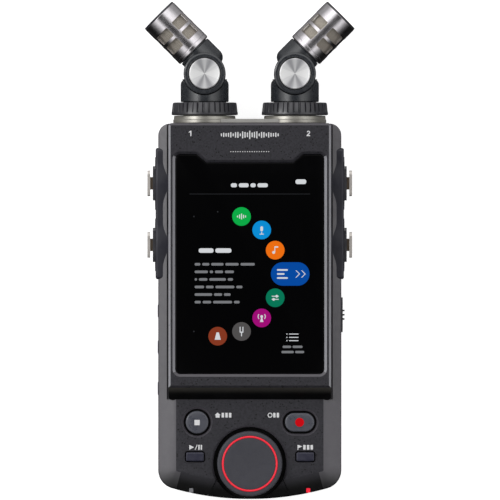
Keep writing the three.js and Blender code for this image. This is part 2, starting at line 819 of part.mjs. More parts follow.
function usbPort() {
  const mid = boardTop + gap + usbHeight / 2;
  const faceX = sideX - gap;
  const shell = roundedRectangle(usbY, mid, usbWidth, usbHeight, usbCorner);
  const inner = roundedRectangle(
    usbY, mid, usbWidth - 2 * usbShell, usbHeight - 2 * usbShell, usbInnerCorner);
  const body = extrudeX(shell, [faceX - usbDepth, faceX]);
  const hollow = extrudeX(inner, [faceX - usbDepth + 1, faceX + 1]);
  const halfTongue = usbTongueThickness / 2;
  const tongue = box(
    [faceX - usbDepth + 0.5, faceX - 1],
    [usbY - usbTongueWidth / 2, usbY + usbTongueWidth / 2],
    [mid - halfTongue, mid + halfTongue]);
  return body.subtract(hollow).add(tongue);
}

// ---- Inside ----

function mainBoard() {
  const jackBackX = sidePanelFaceX + gap - jackDepth;
  const z = [boardBase, boardTop];
  const lower = box([-boardHalf, boardHalf], [chinY + boardChinMargin, bayHighY - gap], z);
  const neckHalf = screwLowerX - screwBossRadius - gap;
  const middle = box([-neckHalf, neckHalf], [bayHighY - gap - 1, sidePanelLowY], z);
  const upperHalf = jackBackX - wall;
  const upper = box([-upperHalf, upperHalf], [sidePanelLowY - 1, shoulderY - boardShoulderMargin], z);
  return lower.add(middle).add(upper);
}

function keypadBoard() {
  const board = box(
    [-keypadHalf, keypadHalf], [chinY + boardChinMargin + 1, bezelFootY - 1.4],
    [keypadTop - boardThickness, keypadTop]);
  return board.subtract(rodZ(wheelCupRadius + 2 * gap, [0, far], 0, wheelY, 32));
}

function batteryCell(index) {
  const x = (index - (cellCount - 1) / 2) * cellPitch;
  const low = bayLowY + contactSpace / 2;
  const high = low + cellLength;
  const body = rodY(cellRadius, [low, high - terminalLength], x, cellHeight, 16);
  return body.add(rodY(terminalRadius, [high - terminalLength - 0.5, high], x, cellHeight, 8));
}

function batteryDoor() {
  const plateHalf = bayHalf - doorLip - gap;
  const highY = bayHighY - gap;
  const plate = box([-plateHalf, plateHalf], [-far, highY], [doorRecess, doorFloor + doorFlange / 2]);
  const flange = box([-bayHalf + gap, bayHalf - gap], [-far, highY], [doorFloor, doorTop]);
  const trimmed = extrude(bodyOutline(rearChamfer), -1, far);
  return plate.add(flange).intersect(trimmed);
}

function tripodInsert() {
  const body = rodZ(insertRadius, [0, insertLength], 0, insertY);
  return body.subtract(rodZ(insertBore, [-1, insertBoreDepth], 0, insertY, 16));
}

function speaker() {
  const base = wall + gap;
  const rim = rodZ(speakerRadius, [base, base + speakerThickness / 2], 0, speakerY);
  const magnet = rodZ(speakerRadius * 0.6, [base + 1, base + speakerThickness], 0, speakerY, 16);
  return rim.add(magnet);
}

function caseScrew(x, y) {
  const seat = screwSink + screwHeadThickness;
  const head = rodZ(screwHeadRadius, [screwSink, seat], x, y, 12);
  return head.add(rodZ(screwRadius, [seat - 0.5, seat + screwLength], x, y, 8));
}

function lightPipe(side) {
  const z = [panelHeight - lightDepth, panelHeight - frontChamferDrop + lightRise];
  return extrude(lightOutline(side, 0), z[0], z[1]);
}

// ---- Top: plate, collars and microphones ----

function micCollar(side) {
  const length = [collarBaseY, collarBaseY + collarLength];
  const body = rodY(collarRadius, length, side * micX, micHeight, 32);
  return body.subtract(rodY(spigotRadius + gap, [0, far], side * micX, micHeight));
}

function topPlate() {
  const half = collarRadius - topPlateMargin;
  const y = [collarBaseY, collarBaseY + topPlateThickness];
  const plate = box([-micX, micX], y, [micHeight - half, micHeight + half]);
  return plate.subtract(bothSides(
    (side) => rodY(collarRadius + gap, [0, far], side * micX, micHeight, 32)));
}

// The lock ring's ribbed outline, lying in the X-Z plane about the post's axis.
function lockRing() {
  const points = [];
  for (let rib = 0; rib < lockRingRibs; rib += 1) {
    for (const [share, radius] of [[0, lockRingRadius], [0.5, lockRingRadius - lockRingRibDepth]]) {
      const angle = ((rib + share) / lockRingRibs) * 4 * quarter;
      points.push(new THREE.Vector2(radius * Math.cos(angle), radius * Math.sin(angle)));
    }
  }
  const shape = new THREE.Shape(points);
  shape.holes.push(circle(0, 0, spigotRadius + gap, 12));
  const geometry = new THREE.ExtrudeGeometry(shape, { depth: lockRingLength, bevelEnabled: false });
  return solidOf(geometry.rotateX(-quarter).translate(0, lockRingY, 0));
}

// A post on a spigot. Its front is hollowed round the pivot and its back rises as a tongue.
function micBase() {
  const foot = collarBaseY + 0.5;
  const top = postY + postLength;
  const points = [[0, foot], [spigotRadius, foot], [spigotRadius, postY], [postRadius, postY]];
  for (let step = 0; step <= 3; step += 1) {
    const angle = (step / 3) * quarter;
    const radius = postRadius - postShoulder + postShoulder * Math.cos(angle);
    points.push([radius, top - postShoulder + postShoulder * Math.sin(angle)]);
  }
  points.push([0, top]);
  const back = -armRadius - gap;
  let solid = lathe(points);
  solid = solid.add(rodZ(knuckleRadius, [back - tongueThickness, back], 0, pivotY));
  return solid.subtract(rodZ(knuckleRadius + gap, [back, far], 0, pivotY));
}

// ---- One microphone, upright about its pivot; the arm stands off to the inner side ----

function micArm(inner) {
  const points = [[0, -armTail], [armRadius - armCorner, -armTail]];
  for (let step = 1; step <= 3; step += 1) {
    const angle = (step / 3) * quarter;
    points.push([
      armRadius - armCorner + armCorner * Math.sin(angle),
      armCorner - armTail - armCorner * Math.cos(angle),
    ]);
  }
  const neckRadius = headRadius - headWall - gap;
  points.push([armRadius, headStart - gap / 2], [neckRadius, headStart - gap / 2]);
  points.push([neckRadius, headStart + neckLength], [0, headStart + neckLength]);
  const sleeve = lathe(points, 24, inner);
  const knuckle = rodZ(knuckleRadius, [-armRadius, knuckleFront], 0, 0);
  const capRoom = rodZ(pivotCapRadius + gap, [knuckleFront - pivotCapThickness, far], 0, 0);
  return sleeve.add(knuckle).subtract(capRoom);
}

function pivotCap() {
  const base = knuckleFront - pivotCapThickness + gap;
  return chamfered(circle(0, 0, pivotCapRadius), base, knuckleFront + gap, 0.3, 0.3);
}

function windowCutter(index, row, inner) {
  const width = 2 * headRadius * Math.sin((windowSpan / 360) * Math.PI);
  const middle = headStart + row + windowHeight / 2;
  const geometry = new THREE.BoxGeometry(width, windowHeight, headRadius);
  const turn = ((index + 0.5) / windowsAround) * 4 * quarter;
  return solidOf(geometry.translate(0, middle, headRadius).rotateY(turn).translate(inner, 0, 0));
}

function micHead(inner) {
  const base = headStart + gap / 2;
  const tip = headStart + headLength;
  const bore = headRadius - headWall;
  const points = [
    [bore, base], [headRadius, base], [headRadius, tip - headEdge], [headRadius - headEdge, tip],
    [0, tip], [0, tip - headTip], [bore, tip - headTip], [bore, base],
  ];
  let solid = lathe(points, 28, inner);
  for (const row of windowRows) {
    for (let index = 0; index < windowsAround; index += 1) {
      solid = solid.subtract(windowCutter(index, row, inner));
    }
  }
  return solid;
}

function micCapsule(inner) {
  const low = headStart + neckLength + gap;
  const high = headStart + headLength - headTip - gap;
  return rodY(headRadius - headWall - capsuleMargin, [low, high], inner, 0);
}

function addMicrophone({ name, side }) {
  addPart(`${name}_mic_collar`, micCollar(side), greyMetal);
  const unit = new THREE.Group();
  unit.position.set(side * micX, 0, micHeight);
  recorder.add(unit);
  addPart(`${name}_mic_base`, micBase(), darkPlastic, unit);
  addPart(`${name}_lock_ring`, lockRing(), blackPlastic, unit);
  const microphone = new THREE.Group();
  microphone.position.set(0, pivotY, 0);
  microphone.rotation.z = -side * THREE.MathUtils.degToRad(micSplay);
  unit.add(microphone);
  const inner = -side * armOffset;
  addPart(`${name}_mic_arm`, micArm(inner), blackPlastic, microphone);
  addPart(`${name}_pivot_cap`, pivotCap(), silverMetal, microphone);
  addPart(`${name}_mic_head`, micHead(inner), smokedChrome, microphone);
  addPart(`${name}_mic_capsule`, micCapsule(inner), screenMesh, microphone);
}

// ---- Assembly ----

function addBody() {
  addPart('rear_case', rearCase(), darkPlastic);
  addPart('front_case', frontCase(), railPlastic);
  addPart('display_bezel', displayBezel(), darkPlastic);
  addPart('touch_glass', extrude(glassOutline(0), glassBase, glassTop), blackGlass);
  addPart('screen_module', screenModule(), blackPlastic);
  addPart('top_plate', topPlate(), greyMetal);
  screwPlaces().forEach(([x, y], index) => addPart(`case_screw_${index + 1}`, caseScrew(x, y), steel));
}

function addInputs() {
  for (const { name, side } of sides) {
    addPart(`${name}_jack_panel`, sidePanel(side), blackPlastic);
    jackRows.forEach((rowY, row) => {
      const place = `${name}_${row === 0 ? 'upper' : 'lower'}`;
      addPart(`${place}_jack`, comboJack(side, rowY), blackPlastic);
      addPart(`${place}_lever`, releaseLever(side, rowY), silverMetal);
    });
  }
}

function addControls() {
  addPart('jog_wheel', jogWheel(), keyPlastic);
  addPart('wheel_ring', ringGroove(0), redPlastic);
  addPart('wheel_encoder', wheelEncoder(), greyPlastic);
  for (const button of buttons) addPart(button.name, frontButton(button), keyPlastic);
  addPart('phones_jack', phonesJack(), blackPlastic);
  addPart('volume_up_key', volumeKey(volumeRows[0]), keyPlastic);
  addPart('volume_down_key', volumeKey(volumeRows[1]), keyPlastic);
  addPart('power_slider', powerSlider(), blackPlastic);
  addPart('card_door', cardDoor(), darkPlastic);
  addPart('usb_port', usbPort(), steel);
  addPart('left_light_pipe', lightPipe(-1), greyPlastic);
  addPart('right_light_pipe', lightPipe(1), redPlastic);
}

function addInside() {
  addPart('main_board', mainBoard(), circuitBoard);
  addPart('keypad_board', keypadBoard(), circuitBoard);
  addPart('card_socket', cardSocket(), steel);
  for (let cell = 0; cell < cellCount; cell += 1) {
    addPart(`battery_cell_${cell + 1}`, batteryCell(cell), cellSkin);
  }
  addPart('battery_door', batteryDoor(), darkPlastic);
  addPart('tripod_insert', tripodInsert(), brass);
  addPart('speaker', speaker(), blackPlastic);
}

addBody();
addInputs();
addControls();
addInside();
sides.forEach(addMicrophone);

export default recorder;
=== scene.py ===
"""Portable field recorder, seen from straight above as it lies on its back.

Everything is in metres in the CAD frame: +X is the recorder's right-hand side, +Y points to
the microphones and +Z comes out of the display.
"""
from math import acos, asin, cos, degrees, hypot, pi, radians, sin, sqrt, tan

import bmesh
import bpy
from mathutils import Matrix, Vector


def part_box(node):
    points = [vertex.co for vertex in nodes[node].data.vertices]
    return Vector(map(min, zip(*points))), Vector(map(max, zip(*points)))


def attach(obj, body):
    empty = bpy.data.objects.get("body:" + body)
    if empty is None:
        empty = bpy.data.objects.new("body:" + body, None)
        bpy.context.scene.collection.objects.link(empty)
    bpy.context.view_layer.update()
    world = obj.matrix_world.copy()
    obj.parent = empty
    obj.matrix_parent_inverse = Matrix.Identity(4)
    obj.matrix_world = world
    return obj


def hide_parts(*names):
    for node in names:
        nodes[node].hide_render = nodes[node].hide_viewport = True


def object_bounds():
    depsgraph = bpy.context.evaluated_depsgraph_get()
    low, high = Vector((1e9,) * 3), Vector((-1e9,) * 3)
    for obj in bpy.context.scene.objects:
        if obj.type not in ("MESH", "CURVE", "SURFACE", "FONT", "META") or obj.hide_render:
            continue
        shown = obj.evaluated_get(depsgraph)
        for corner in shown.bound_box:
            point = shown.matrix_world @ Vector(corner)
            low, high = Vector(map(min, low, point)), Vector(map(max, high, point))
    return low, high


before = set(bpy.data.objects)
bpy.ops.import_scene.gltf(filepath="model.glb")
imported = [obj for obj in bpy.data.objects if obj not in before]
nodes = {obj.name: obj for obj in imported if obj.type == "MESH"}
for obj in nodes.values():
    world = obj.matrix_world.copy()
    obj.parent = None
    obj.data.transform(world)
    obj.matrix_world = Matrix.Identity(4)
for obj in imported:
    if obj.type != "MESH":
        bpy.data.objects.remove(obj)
cad_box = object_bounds()

MM = 0.001

# ---- Sizes taken from the CAD frame ----
case_low, case_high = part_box("front_case")
HALF = case_high.x
CHIN = case_low.y
SHOULDER = case_high.y
SPLIT = case_low.z
PANEL = case_high.z
bezel_low, bezel_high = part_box("display_bezel")
glass_low, glass_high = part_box("touch_glass")
wheel_low, wheel_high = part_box("jog_wheel")
WHEEL_R = (wheel_high.x - wheel_low.x) / 2
WHEEL_Y = (wheel_high.y + wheel_low.y) / 2
AT_WHEEL = Matrix.Translation((0, WHEEL_Y, 0))
BEZEL_TOP = bezel_high.z - 0.03 * MM

# ---- Sizes that the CAD frame doesn't give ----
GAP = 0.3 * MM
WALL = 2 * MM
CORNER_R = 8 * MM
SHOULDER_R = 5 * MM
CHIN_R = 121 * MM
CHAMFER = 7.6 * MM
CHAMFER_DROP = 3 * MM
SIDE_EDGE_R = 0.8 * MM
BOSS_R = 13 * MM
BOSS_REACH = 9.6 * MM
BOSS_RISE = 0.9 * MM
BEZEL_EDGE = 0.9 * MM
BEZEL_SLOPE = 5.3 * MM
RIM = 1.1 * MM
WHEEL_MARGIN = 1.7 * MM
WHEEL_FLOOR = 25.5 * MM
MIC_X = 19.15 * MM
MIC_Z = 18 * MM
MIC_SPLAY = 45
PIVOT_DROP = 8.95 * MM
ARM_OFFSET = 3.8 * MM


# ---------------------------------------------------------------- outlines

def arc(x, y, radius, start, end, steps=10):
    """Points of an arc about (x, y), with its angles in degrees."""
    points = []
    for step in range(steps + 1):
        angle = radians(start + (end - start) * step / steps)
        points.append((x + radius * cos(angle), y + radius * sin(angle)))
    return points


def rounded(x, y, width, height, radius, steps=8):
    """A rounded rectangle about (x, y), anticlockwise."""
    right = width / 2 - radius
    high = height / 2 - radius
    points = arc(x + right, y + high, radius, 0, 90, steps)
    points += arc(x - right, y + high, radius, 90, 180, steps)
    points += arc(x - right, y - high, radius, 180, 270, steps)
    points += arc(x + right, y - high, radius, 270, 360, steps)
    return apart(points)


def disc(x, y, radius, steps=64):
    return apart(arc(x, y, radius, 0, 360, steps))


def apart(points, least=1e-6):
    """The points of a closed outline without repeats."""
    kept = []
    for point in points:
        if not kept or hypot(point[0] - kept[-1][0], point[1] - kept[-1][1]) > least:
            kept.append(point)
    if hypot(kept[0][0] - kept[-1][0], kept[0][1] - kept[-1][1]) <= least:
        kept.pop()
    return kept


def filleted(corners, steps=6):
    """An outline from (x, y, radius) corners, each rounded by an arc that touches both sides."""
    points = []
    count = len(corners)
    for index, (x, y, radius) in enumerate(corners):
        here = Vector((x, y))
        back = (Vector(corners[index - 1][:2]) - here).normalized()
        on = (Vector(corners[(index + 1) % count][:2]) - here).normalized()
        if radius <= 0:
            points.append((x, y))
            continue
        half = acos(max(-1, min(1, back.dot(on)))) / 2
        start = here + back * (radius / tan(half))
        end = here + on * (radius / tan(half))
        centre = here + (back + on).normalized() * (radius / sin(half))
        for step in range(steps + 1):
            spoke = (start - centre).lerp(end - centre, step / steps)
            spoke = centre + spoke.normalized() * radius
            points.append((spoke.x, spoke.y))
    return apart(points)


def grown(points, distance):
    """The outline moved outwards along its mitres. The points run anticlockwise."""
    if distance == 0:
        return list(points)
    moved = []
    count = len(points)
    for index, (x, y) in enumerate(points):
        before = Vector((x, y)) - Vector(points[index - 1])
        after = Vector(points[(index + 1) % count]) - Vector((x, y))
        first = Vector((before.y, -before.x)).normalized()
        second = Vector((after.y, -after.x)).normalized()
        mitre = first + second
        mitre *= 2 / max(mitre.length_squared, 0.5)
        moved.append((x + mitre.x * distance, y + mitre.y * distance))
    return moved


def body_outline(inset=0.0, top_radius=CORNER_R, overrun=0.0, steps=12):
    """The body seen from the front: straight sides, arcs at every corner and an arc for a chin."""
    half = HALF - inset
    top = SHOULDER - inset + overrun
    shoulder = top_radius - inset
    corner = CORNER_R - inset
    sweep = CHIN_R - inset
    centre_y = CHIN + CHIN_R
    corner_x = half - corner
    lean = asin(corner_x / (sweep - corner))
    corner_y = centre_y - (sweep - corner) * cos(lean)
    tilt = degrees(lean)
    points = arc(half - shoulder, top - shoulder, shoulder, 0, 90, steps)
    points += arc(shoulder - half, top - shoulder, shoulder, 90, 180, steps)
    points += arc(-corner_x, corner_y, corner, 180, 270 - tilt, steps)
    points += arc(0, centre_y, sweep, 270 - tilt, 270 + tilt, 3 * steps)
    points += arc(corner_x, corner_y, corner, 270 + tilt, 360, steps)
    return apart(points)


def glass_outline(growth=0.0):
    """The cover glass: its upper edge steps down in the middle."""
    half = glass_high.x
    low = glass_low.y
    high = glass_high.y
    notch = high - 3.6 * MM
    corners = [
        (half, high, 1.8 * MM), (22.7 * MM, high, 1.2 * MM), (18.5 * MM, notch, 2.2 * MM),
        (-18.5 * MM, notch, 2.2 * MM), (-22.7 * MM, high, 1.2 * MM), (-half, high, 1.8 * MM),
        (-half, low, 1.8 * MM), (half, low, 1.8 * MM),
    ]
    return grown(filleted(corners), growth)


# ---------------------------------------------------------------- solids

def new_object(name, mesh_maker):
    """An object of the scene whose mesh a function fills in."""
    made = bmesh.new()
    mesh_maker(made)
    bmesh.ops.recalc_face_normals(made, faces=made.faces[:])
    mesh = bpy.data.meshes.new(name)
    made.to_mesh(mesh)
    made.free()
    piece = bpy.data.objects.new(name, mesh)
    bpy.context.scene.collection.objects.link(piece)
    return piece


def moved(piece, matrix):
    """The piece with its mesh moved. A mirroring matrix turns its faces the right way again."""
    if matrix is not None:
        piece.data.transform(matrix)
        if matrix.determinant() < 0:
            piece.data.flip_normals()
    return piece


def loft(name, rings):
    """A closed solid through rings of equal length, each a list of 3-D points."""
    def make(made):
        rows = [[made.verts.new(point) for point in ring] for ring in rings]
        count = len(rows[0])
        for low, high in zip(rows, rows[1:]):
            for index in range(count):
                following = (index + 1) % count
                made.faces.new((low[index], low[following], high[following], high[index]))
        made.faces.new(list(reversed(rows[0])))
        made.faces.new(rows[-1])
    return new_object(name, make)


def slab(name, points, levels, matrix=None):
    """An outline carried up through (growth, z) levels, then placed by a matrix."""
    rings = []
    for growth, z in levels:
        rings.append([Vector((x, y, z)) for x, y in grown(points, growth)])
    return moved(loft(name, rings), matrix)


def eased(low, high, low_edge, high_edge, steps=3):
    """Levels for a slab whose two edges are rounded by these radii."""
    levels = []
    if low_edge:
        for step in range(steps):
            angle = radians(90 * step / steps)
            levels.append((-low_edge + low_edge * sin(angle), low + low_edge - low_edge * cos(angle)))
    levels.append((0, low + low_edge))
    levels.append((0, high - high_edge))
    if high_edge:
        for step in range(1, steps + 1):
            angle = radians(90 * step / steps)
            levels.append((-high_edge + high_edge * cos(angle), high - high_edge + high_edge * sin(angle)))
    return levels


def turned(name, profile, matrix=None, steps=64):
    """A profile of (radius, height) turned about Z. It starts and ends on the axis, or closes."""
    solid = profile[0][0] < 1e-9 and profile[-1][0] < 1e-9

    def make(made):
        rows = []
        for radius, height in profile:
            if radius < 1e-9:
                rows.append([made.verts.new((0, 0, height))])
                continue
            ring = []
            for step in range(steps):
                angle = 2 * pi * step / steps
                ring.append(made.verts.new((radius * cos(angle), radius * sin(angle), height)))
            rows.append(ring)
        pairs = list(zip(rows, rows[1:]))
        if not solid:
            pairs.append((rows[-1], rows[0]))
        for low, high in pairs:
            for index in range(steps):
                on = (index + 1) % steps
                corners = [
                    ring[spot % len(ring)]
                    for ring, spot in ((low, index), (low, on), (high, on), (high, index))]
                made.faces.new(list(dict.fromkeys(corners)))
    return moved(new_object(name, make), matrix)


def block(name, low, high):
    """A plain box between two corners, used to cut or to join."""
    outline = [(high[0], high[1]), (low[0], high[1]), (low[0], low[1]), (high[0], low[1])]
    return slab(name, outline, [(0, low[2]), (0, high[2])])


def rod(name, radius, low, high, matrix=None, steps=64):
    return slab(name, disc(0, 0, radius, steps), [(0, low), (0, high)], matrix)


def combine(piece, operation, others):
    """Applies exact booleans and removes what was joined or cut away."""
    for other in others:
        modifier = piece.modifiers.new("cut", "BOOLEAN")
        modifier.operation = operation
        modifier.solver = "EXACT"
        modifier.object = other
    graph = bpy.context.evaluated_depsgraph_get()
    mesh = bpy.data.meshes.new_from_object(piece.evaluated_get(graph))
    piece.modifiers.clear()
    piece.data = mesh
    for other in others:
        bpy.data.objects.remove(other)
    return piece


def cut(piece, *others):
    return combine(piece, "DIFFERENCE", others)


def join(piece, *others):
    return combine(piece, "UNION", others)


def common(piece, other):
    return combine(piece, "INTERSECT", [other])


def tidy(piece, distance=1e-6):
    """Merges doubled points and dissolves the flat seams that booleans leave."""
    made = bmesh.new()
    made.from_mesh(piece.data)
    bmesh.ops.remove_doubles(made, verts=made.verts[:], dist=distance)
    bmesh.ops.dissolve_degenerate(made, edges=made.edges[:], dist=distance)
    made.to_mesh(piece.data)
    made.free()
    return piece


def smooth(piece, angle=35):
    piece.data.shade_smooth()
    piece.data.set_sharp_from_angle(angle=radians(angle))
    return piece


def soften(piece, width, segments=2, angle=32):
    """Rounds every edge sharper than an angle."""
    piece.data.shade_smooth()
    bevel = piece.modifiers.new("soft edges", "BEVEL")
    bevel.limit_method = "ANGLE"
    bevel.angle_limit = radians(angle)
    bevel.width = width
    bevel.segments = segments
    bevel.use_clamp_overlap = True
    bevel.harden_normals = True
    return piece


def soften_node(name, width):
    """A CAD node that stays: its flat facets are joined and its edges rounded."""
    piece = nodes[name]
    piece.data.shade_smooth()
    flat = piece.modifiers.new("flats", "DECIMATE")
    flat.decimate_type = "DISSOLVE"
    flat.angle_limit = radians(1)
    return soften(piece, width)


def paint(piece, *materials):
    if piece.data.materials:
        piece.data.materials.clear()
    for material in materials:
        piece.data.materials.append(material)
    return piece


def place(piece, body, slot, *stands_for):
    """A finished piece moves with a body and may stand for CAD nodes."""
    if stands_for:
        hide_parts(*stands_for)
    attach(piece, body)
    return piece


def side_name(side):
    return "left" if side < 0 else "right"


def facing_x(side):
    """Turns +Z of a slab to the outside of one side wall, and its +X to +Y."""
    return Matrix(((0, 0, side), (1, 0, 0), (0, 1, 0))).to_4x4()


def axis_y(x, y, z):
    """Turns a lathe's axis from +Z to +Y and moves it."""
    return Matrix.Translation((x, y, z)) @ Matrix.Rotation(-pi / 2, 4, "X")


def colour(red, green, blue):
    """A display colour from 0 to 255 as the linear colour that shaders take."""
    linear = []
    for value in (red, green, blue):
        share = value / 255
        linear.append(share / 12.92 if share <= 0.04045 else ((share + 0.055) / 1.055) ** 2.4)
    return (*linear, 1.0)


def shaded(base, share):
    """A colour made lighter or darker by a share."""
    return tuple(min(1.0, value * share) for value in base[:3]) + (1.0,)


# ---------------------------------------------------------------- materials

class Surface:
    """A Principled material with helpers for the node chains used here."""

    def __init__(self, name, base, roughness, metallic=0.0, specular=0.5):
        self.material = bpy.data.materials.new(name)
        self.material.use_nodes = True
        self.tree = self.material.node_tree
        self.shader = self.tree.nodes["Principled BSDF"]
        self.set("Base Color", base)
        self.set("Roughness", roughness)
        self.set("Metallic", metallic)
        self.set("Specular IOR Level", specular)
        self.place = self.node("ShaderNodeTexCoord").outputs["Object"]
        self.bump_from = None

    def set(self, socket, value):
        self.shader.inputs[socket].default_value = value

    def node(self, kind, **inputs):
        made = self.tree.nodes.new(kind)
        for name, value in inputs.items():
            made.inputs[name.replace("_", " ")].default_value = value
        return made

    def link(self, source, target):
        self.tree.links.new(source, target)

    def stretched(self, scale):
        """Object coordinates scaled by a different amount along each axis."""
        mapping = self.node("ShaderNodeMapping")
        mapping.inputs["Scale"].default_value = scale
        self.link(self.place, mapping.inputs["Vector"])
        return mapping.outputs["Vector"]

    def noise(self, size, detail=2.0, vector=None):
        """Noise whose features are about this size in metres."""
        made = self.node("ShaderNodeTexNoise", Scale=1 / size, Detail=detail)
        self.link(vector or self.place, made.inputs["Vector"])
        return made.outputs["Fac"]

    def cells(self, size, vector=None):
        """Distance from scattered points about this size apart."""
        made = self.node("ShaderNodeTexVoronoi", Scale=1 / size)
        self.link(vector or self.place, made.inputs["Vector"])
        return made.outputs["Distance"]

    def ramp(self, source, low, high, low_value=0.0, high_value=1.0):
        """A smooth step of the source between two values."""
        made = self.node("ShaderNodeMapRange")
        made.interpolation_type = "SMOOTHSTEP"
        made.inputs["From Min"].default_value = low
        made.inputs["From Max"].default_value = high
        made.inputs["To Min"].default_value = low_value
        made.inputs["To Max"].default_value = high_value
        self.link(source, made.inputs["Value"])
        return made.outputs["Result"]

    def math(self, operation, first, second):
        made = self.node("ShaderNodeMath")
        made.operation = operation
        for socket, value in zip(made.inputs, (first, second)):
            if isinstance(value, (int, float)):
                socket.default_value = value
            else:
                self.link(value, socket)
        return made.outputs["Value"]

    def mix(self, factor, first, second):
        made = self.node("ShaderNodeMix")
        made.data_type = "RGBA"
        self.link(factor, made.inputs[0])
        for socket, value in ((made.inputs[6], first), (made.inputs[7], second)):
            if isinstance(value, tuple):
                socket.default_value = value
            else:
                self.link(value, socket)
        return made.outputs[2]

    def painted_edge_highlight(self):
        """Where the painted edge highlight goes: from 0 on flats to 1 on outer edges, broken up by noise.
        """
        geometry = self.node("ShaderNodeNewGeometry")
        edge = self.ramp(geometry.outputs["Pointiness"], 0.52, 0.62)
        return self.math("MULTIPLY", edge, self.noise(0.9 * MM, 3))

    def base(self, source):
        self.link(source, self.shader.inputs["Base Color"])

    def rough(self, source):
        self.link(source, self.shader.inputs["Roughness"])

    def bump(self, source, depth, strength=1.0):
        """Adds a bump of this depth in metres on top of the earlier ones."""
        made = self.node("ShaderNodeBump", Strength=strength, Distance=depth)
        self.link(source, made.inputs["Height"])
        if self.bump_from is not None:
            self.link(self.bump_from, made.inputs["Normal"])
        self.bump_from = made.outputs["Normal"]
        self.link(self.bump_from, self.shader.inputs["Normal"])


# How much lighter the painted edge highlight makes a plastic's colour.
EDGE_HIGHLIGHT_LIFT = 1.35


def moulded(name, base, roughness, grain=0.35 * MM, depth=0.02 * MM, specular=0.5):
    """Moulded plastic: fine spark-eroded grain, faint clouding and a painted highlight on its outer edges.
    """
    surface = Surface(name, base, roughness, specular=specular)
    clouds = surface.mix(surface.noise(6 * MM, 3), shaded(base, 0.82), base)
    # Painted highlight: outer edges take a lighter copy of the colour.
    surface.base(surface.mix(surface.painted_edge_highlight(), clouds, shaded(base, EDGE_HIGHLIGHT_LIFT)))
    surface.rough(surface.ramp(surface.noise(2.5 * MM, 3), 0.3, 0.7, roughness - 0.06, roughness + 0.08))
    surface.bump(surface.noise(grain, 3), depth, 0.5)
    return surface


def painted_shade_ramp(surface, axis, low, high, dark, light):
    """Painted shade: a base colour that goes from dark to light along one axis of the recorder."""
    split = surface.node("ShaderNodeSeparateXYZ")
    surface.link(surface.place, split.inputs[0])
    share = surface.ramp(split.outputs[axis], low, high)
    clouds = surface.mix(surface.noise(1.1 * MM, 4), shaded(light, 0.8), light)
    surface.base(surface.mix(share, dark, clouds))
    return surface


def speckled(name, base, speck, fleck):
    """Mineral-filled plastic with sparse dark specks, fine mottling and a few light flecks."""
    surface = Surface(name, base, 0.55, specular=0.35)
    mottled = surface.mix(
        surface.ramp(surface.noise(0.9 * MM, 4), 0.35, 0.65), shaded(base, 0.72), base)
    sparse = surface.ramp(surface.noise(1.7 * MM, 2), 0.47, 0.53)
    dots = surface.ramp(surface.cells(1.2 * MM), 0.3, 0.2)
    specks = surface.math("MULTIPLY", dots, sparse)
    fine = surface.ramp(surface.cells(0.55 * MM), 0.2, 0.1)
    few = surface.math("MULTIPLY", fine, surface.ramp(surface.noise(2.3 * MM, 2), 0.46, 0.56))
    dark = surface.mix(surface.math("MAXIMUM", specks, few), mottled, speck)
    bright = surface.math(
        "MULTIPLY", surface.ramp(surface.cells(0.7 * MM, surface.stretched((1.3, 1.3, 1.3))), 0.14, 0.07),
        surface.ramp(surface.noise(3.1 * MM, 2), 0.55, 0.68))
    surface.base(surface.mix(bright, dark, fleck))
    surface.rough(surface.ramp(surface.noise(0.6 * MM, 2), 0.3, 0.7, 0.46, 0.66))
    surface.bump(surface.noise(0.3 * MM, 3), 0.02 * MM, 0.6)
    surface.bump(surface.math("MAXIMUM", specks, few), -0.02 * MM, 0.5)
    return surface


def brushed(name, base, roughness, stretch, depth=0.004 * MM, metallic=1.0):
    """Metal with fine lines along one axis and slight staining."""
    surface = Surface(name, base, roughness, metallic=metallic)
    lines = surface.noise(1.2 * MM, 4, surface.stretched(stretch))
    surface.base(surface.mix(surface.ramp(lines, 0.3, 0.7), shaded(base, 0.93), base))
    surface.rough(surface.ramp(surface.noise(4 * MM, 3), 0.3, 0.7, roughness - 0.02, roughness + 0.03))
    surface.bump(lines, depth, 0.35)
    return surface


def painted_reflection_disc(name, centre_x, centre_y):
    """Spun metal: bright and dark rays about the centre painted into its colour as painted reflections,
    fine turning marks across them, and a faint painted glow.
    """
    surface = Surface(name, colour(206, 206, 204), 0.38, metallic=0.35)
    split = surface.node("ShaderNodeSeparateXYZ")
    surface.link(surface.place, split.inputs[0])
    x = surface.math("SUBTRACT", split.outputs[0], centre_x)
    y = surface.math("SUBTRACT", split.outputs[1], centre_y)
    angle = surface.math("ARCTAN2", y, x)
    reach = surface.math("SQRT", surface.math(
        "ADD", surface.math("MULTIPLY", x, x), surface.math("MULTIPLY", y, y)), 0.0)
    # Painted reflection: the rays' brightness by angle about the centre.
    light = 0.38
    for count, weight in ((2, 0.35), (4, 0.15), (8, 0.12)):
        wave = surface.math("COSINE", surface.math("MULTIPLY", angle, float(count)), 0.0)
        light = surface.math("ADD", light, surface.math("MULTIPLY", wave, weight))
    ray_place = surface.node("ShaderNodeCombineXYZ")
    surface.link(surface.math("MULTIPLY", angle, 3.0), ray_place.inputs[0])
    rays = surface.node("ShaderNodeTexNoise", Scale=6.0, Detail=5.0)
    surface.link(ray_place.outputs[0], rays.inputs["Vector"])
    light = surface.math("ADD", light, surface.math("MULTIPLY", rays.outputs["Fac"], 0.35))
    surface.base(surface.mix(
        surface.ramp(light, 0.05, 0.85), colour(150, 150, 155), colour(255, 255, 255)))
    # Painted glow: the metal gives off a little light of its own.
    surface.set("Emission Color", (1.0, 1.0, 1.0, 1.0))
    surface.set("Emission Strength", 0.04)
    ring_place = surface.node("ShaderNodeCombineXYZ")
    surface.link(reach, ring_place.inputs[0])
    marks = surface.node("ShaderNodeTexNoise", Scale=1 / (0.12 * MM), Detail=2.0)
    surface.link(ring_place.outputs[0], marks.inputs["Vector"])
    surface.bump(marks.outputs["Fac"], 0.004 * MM, 0.4)
    return surface.material


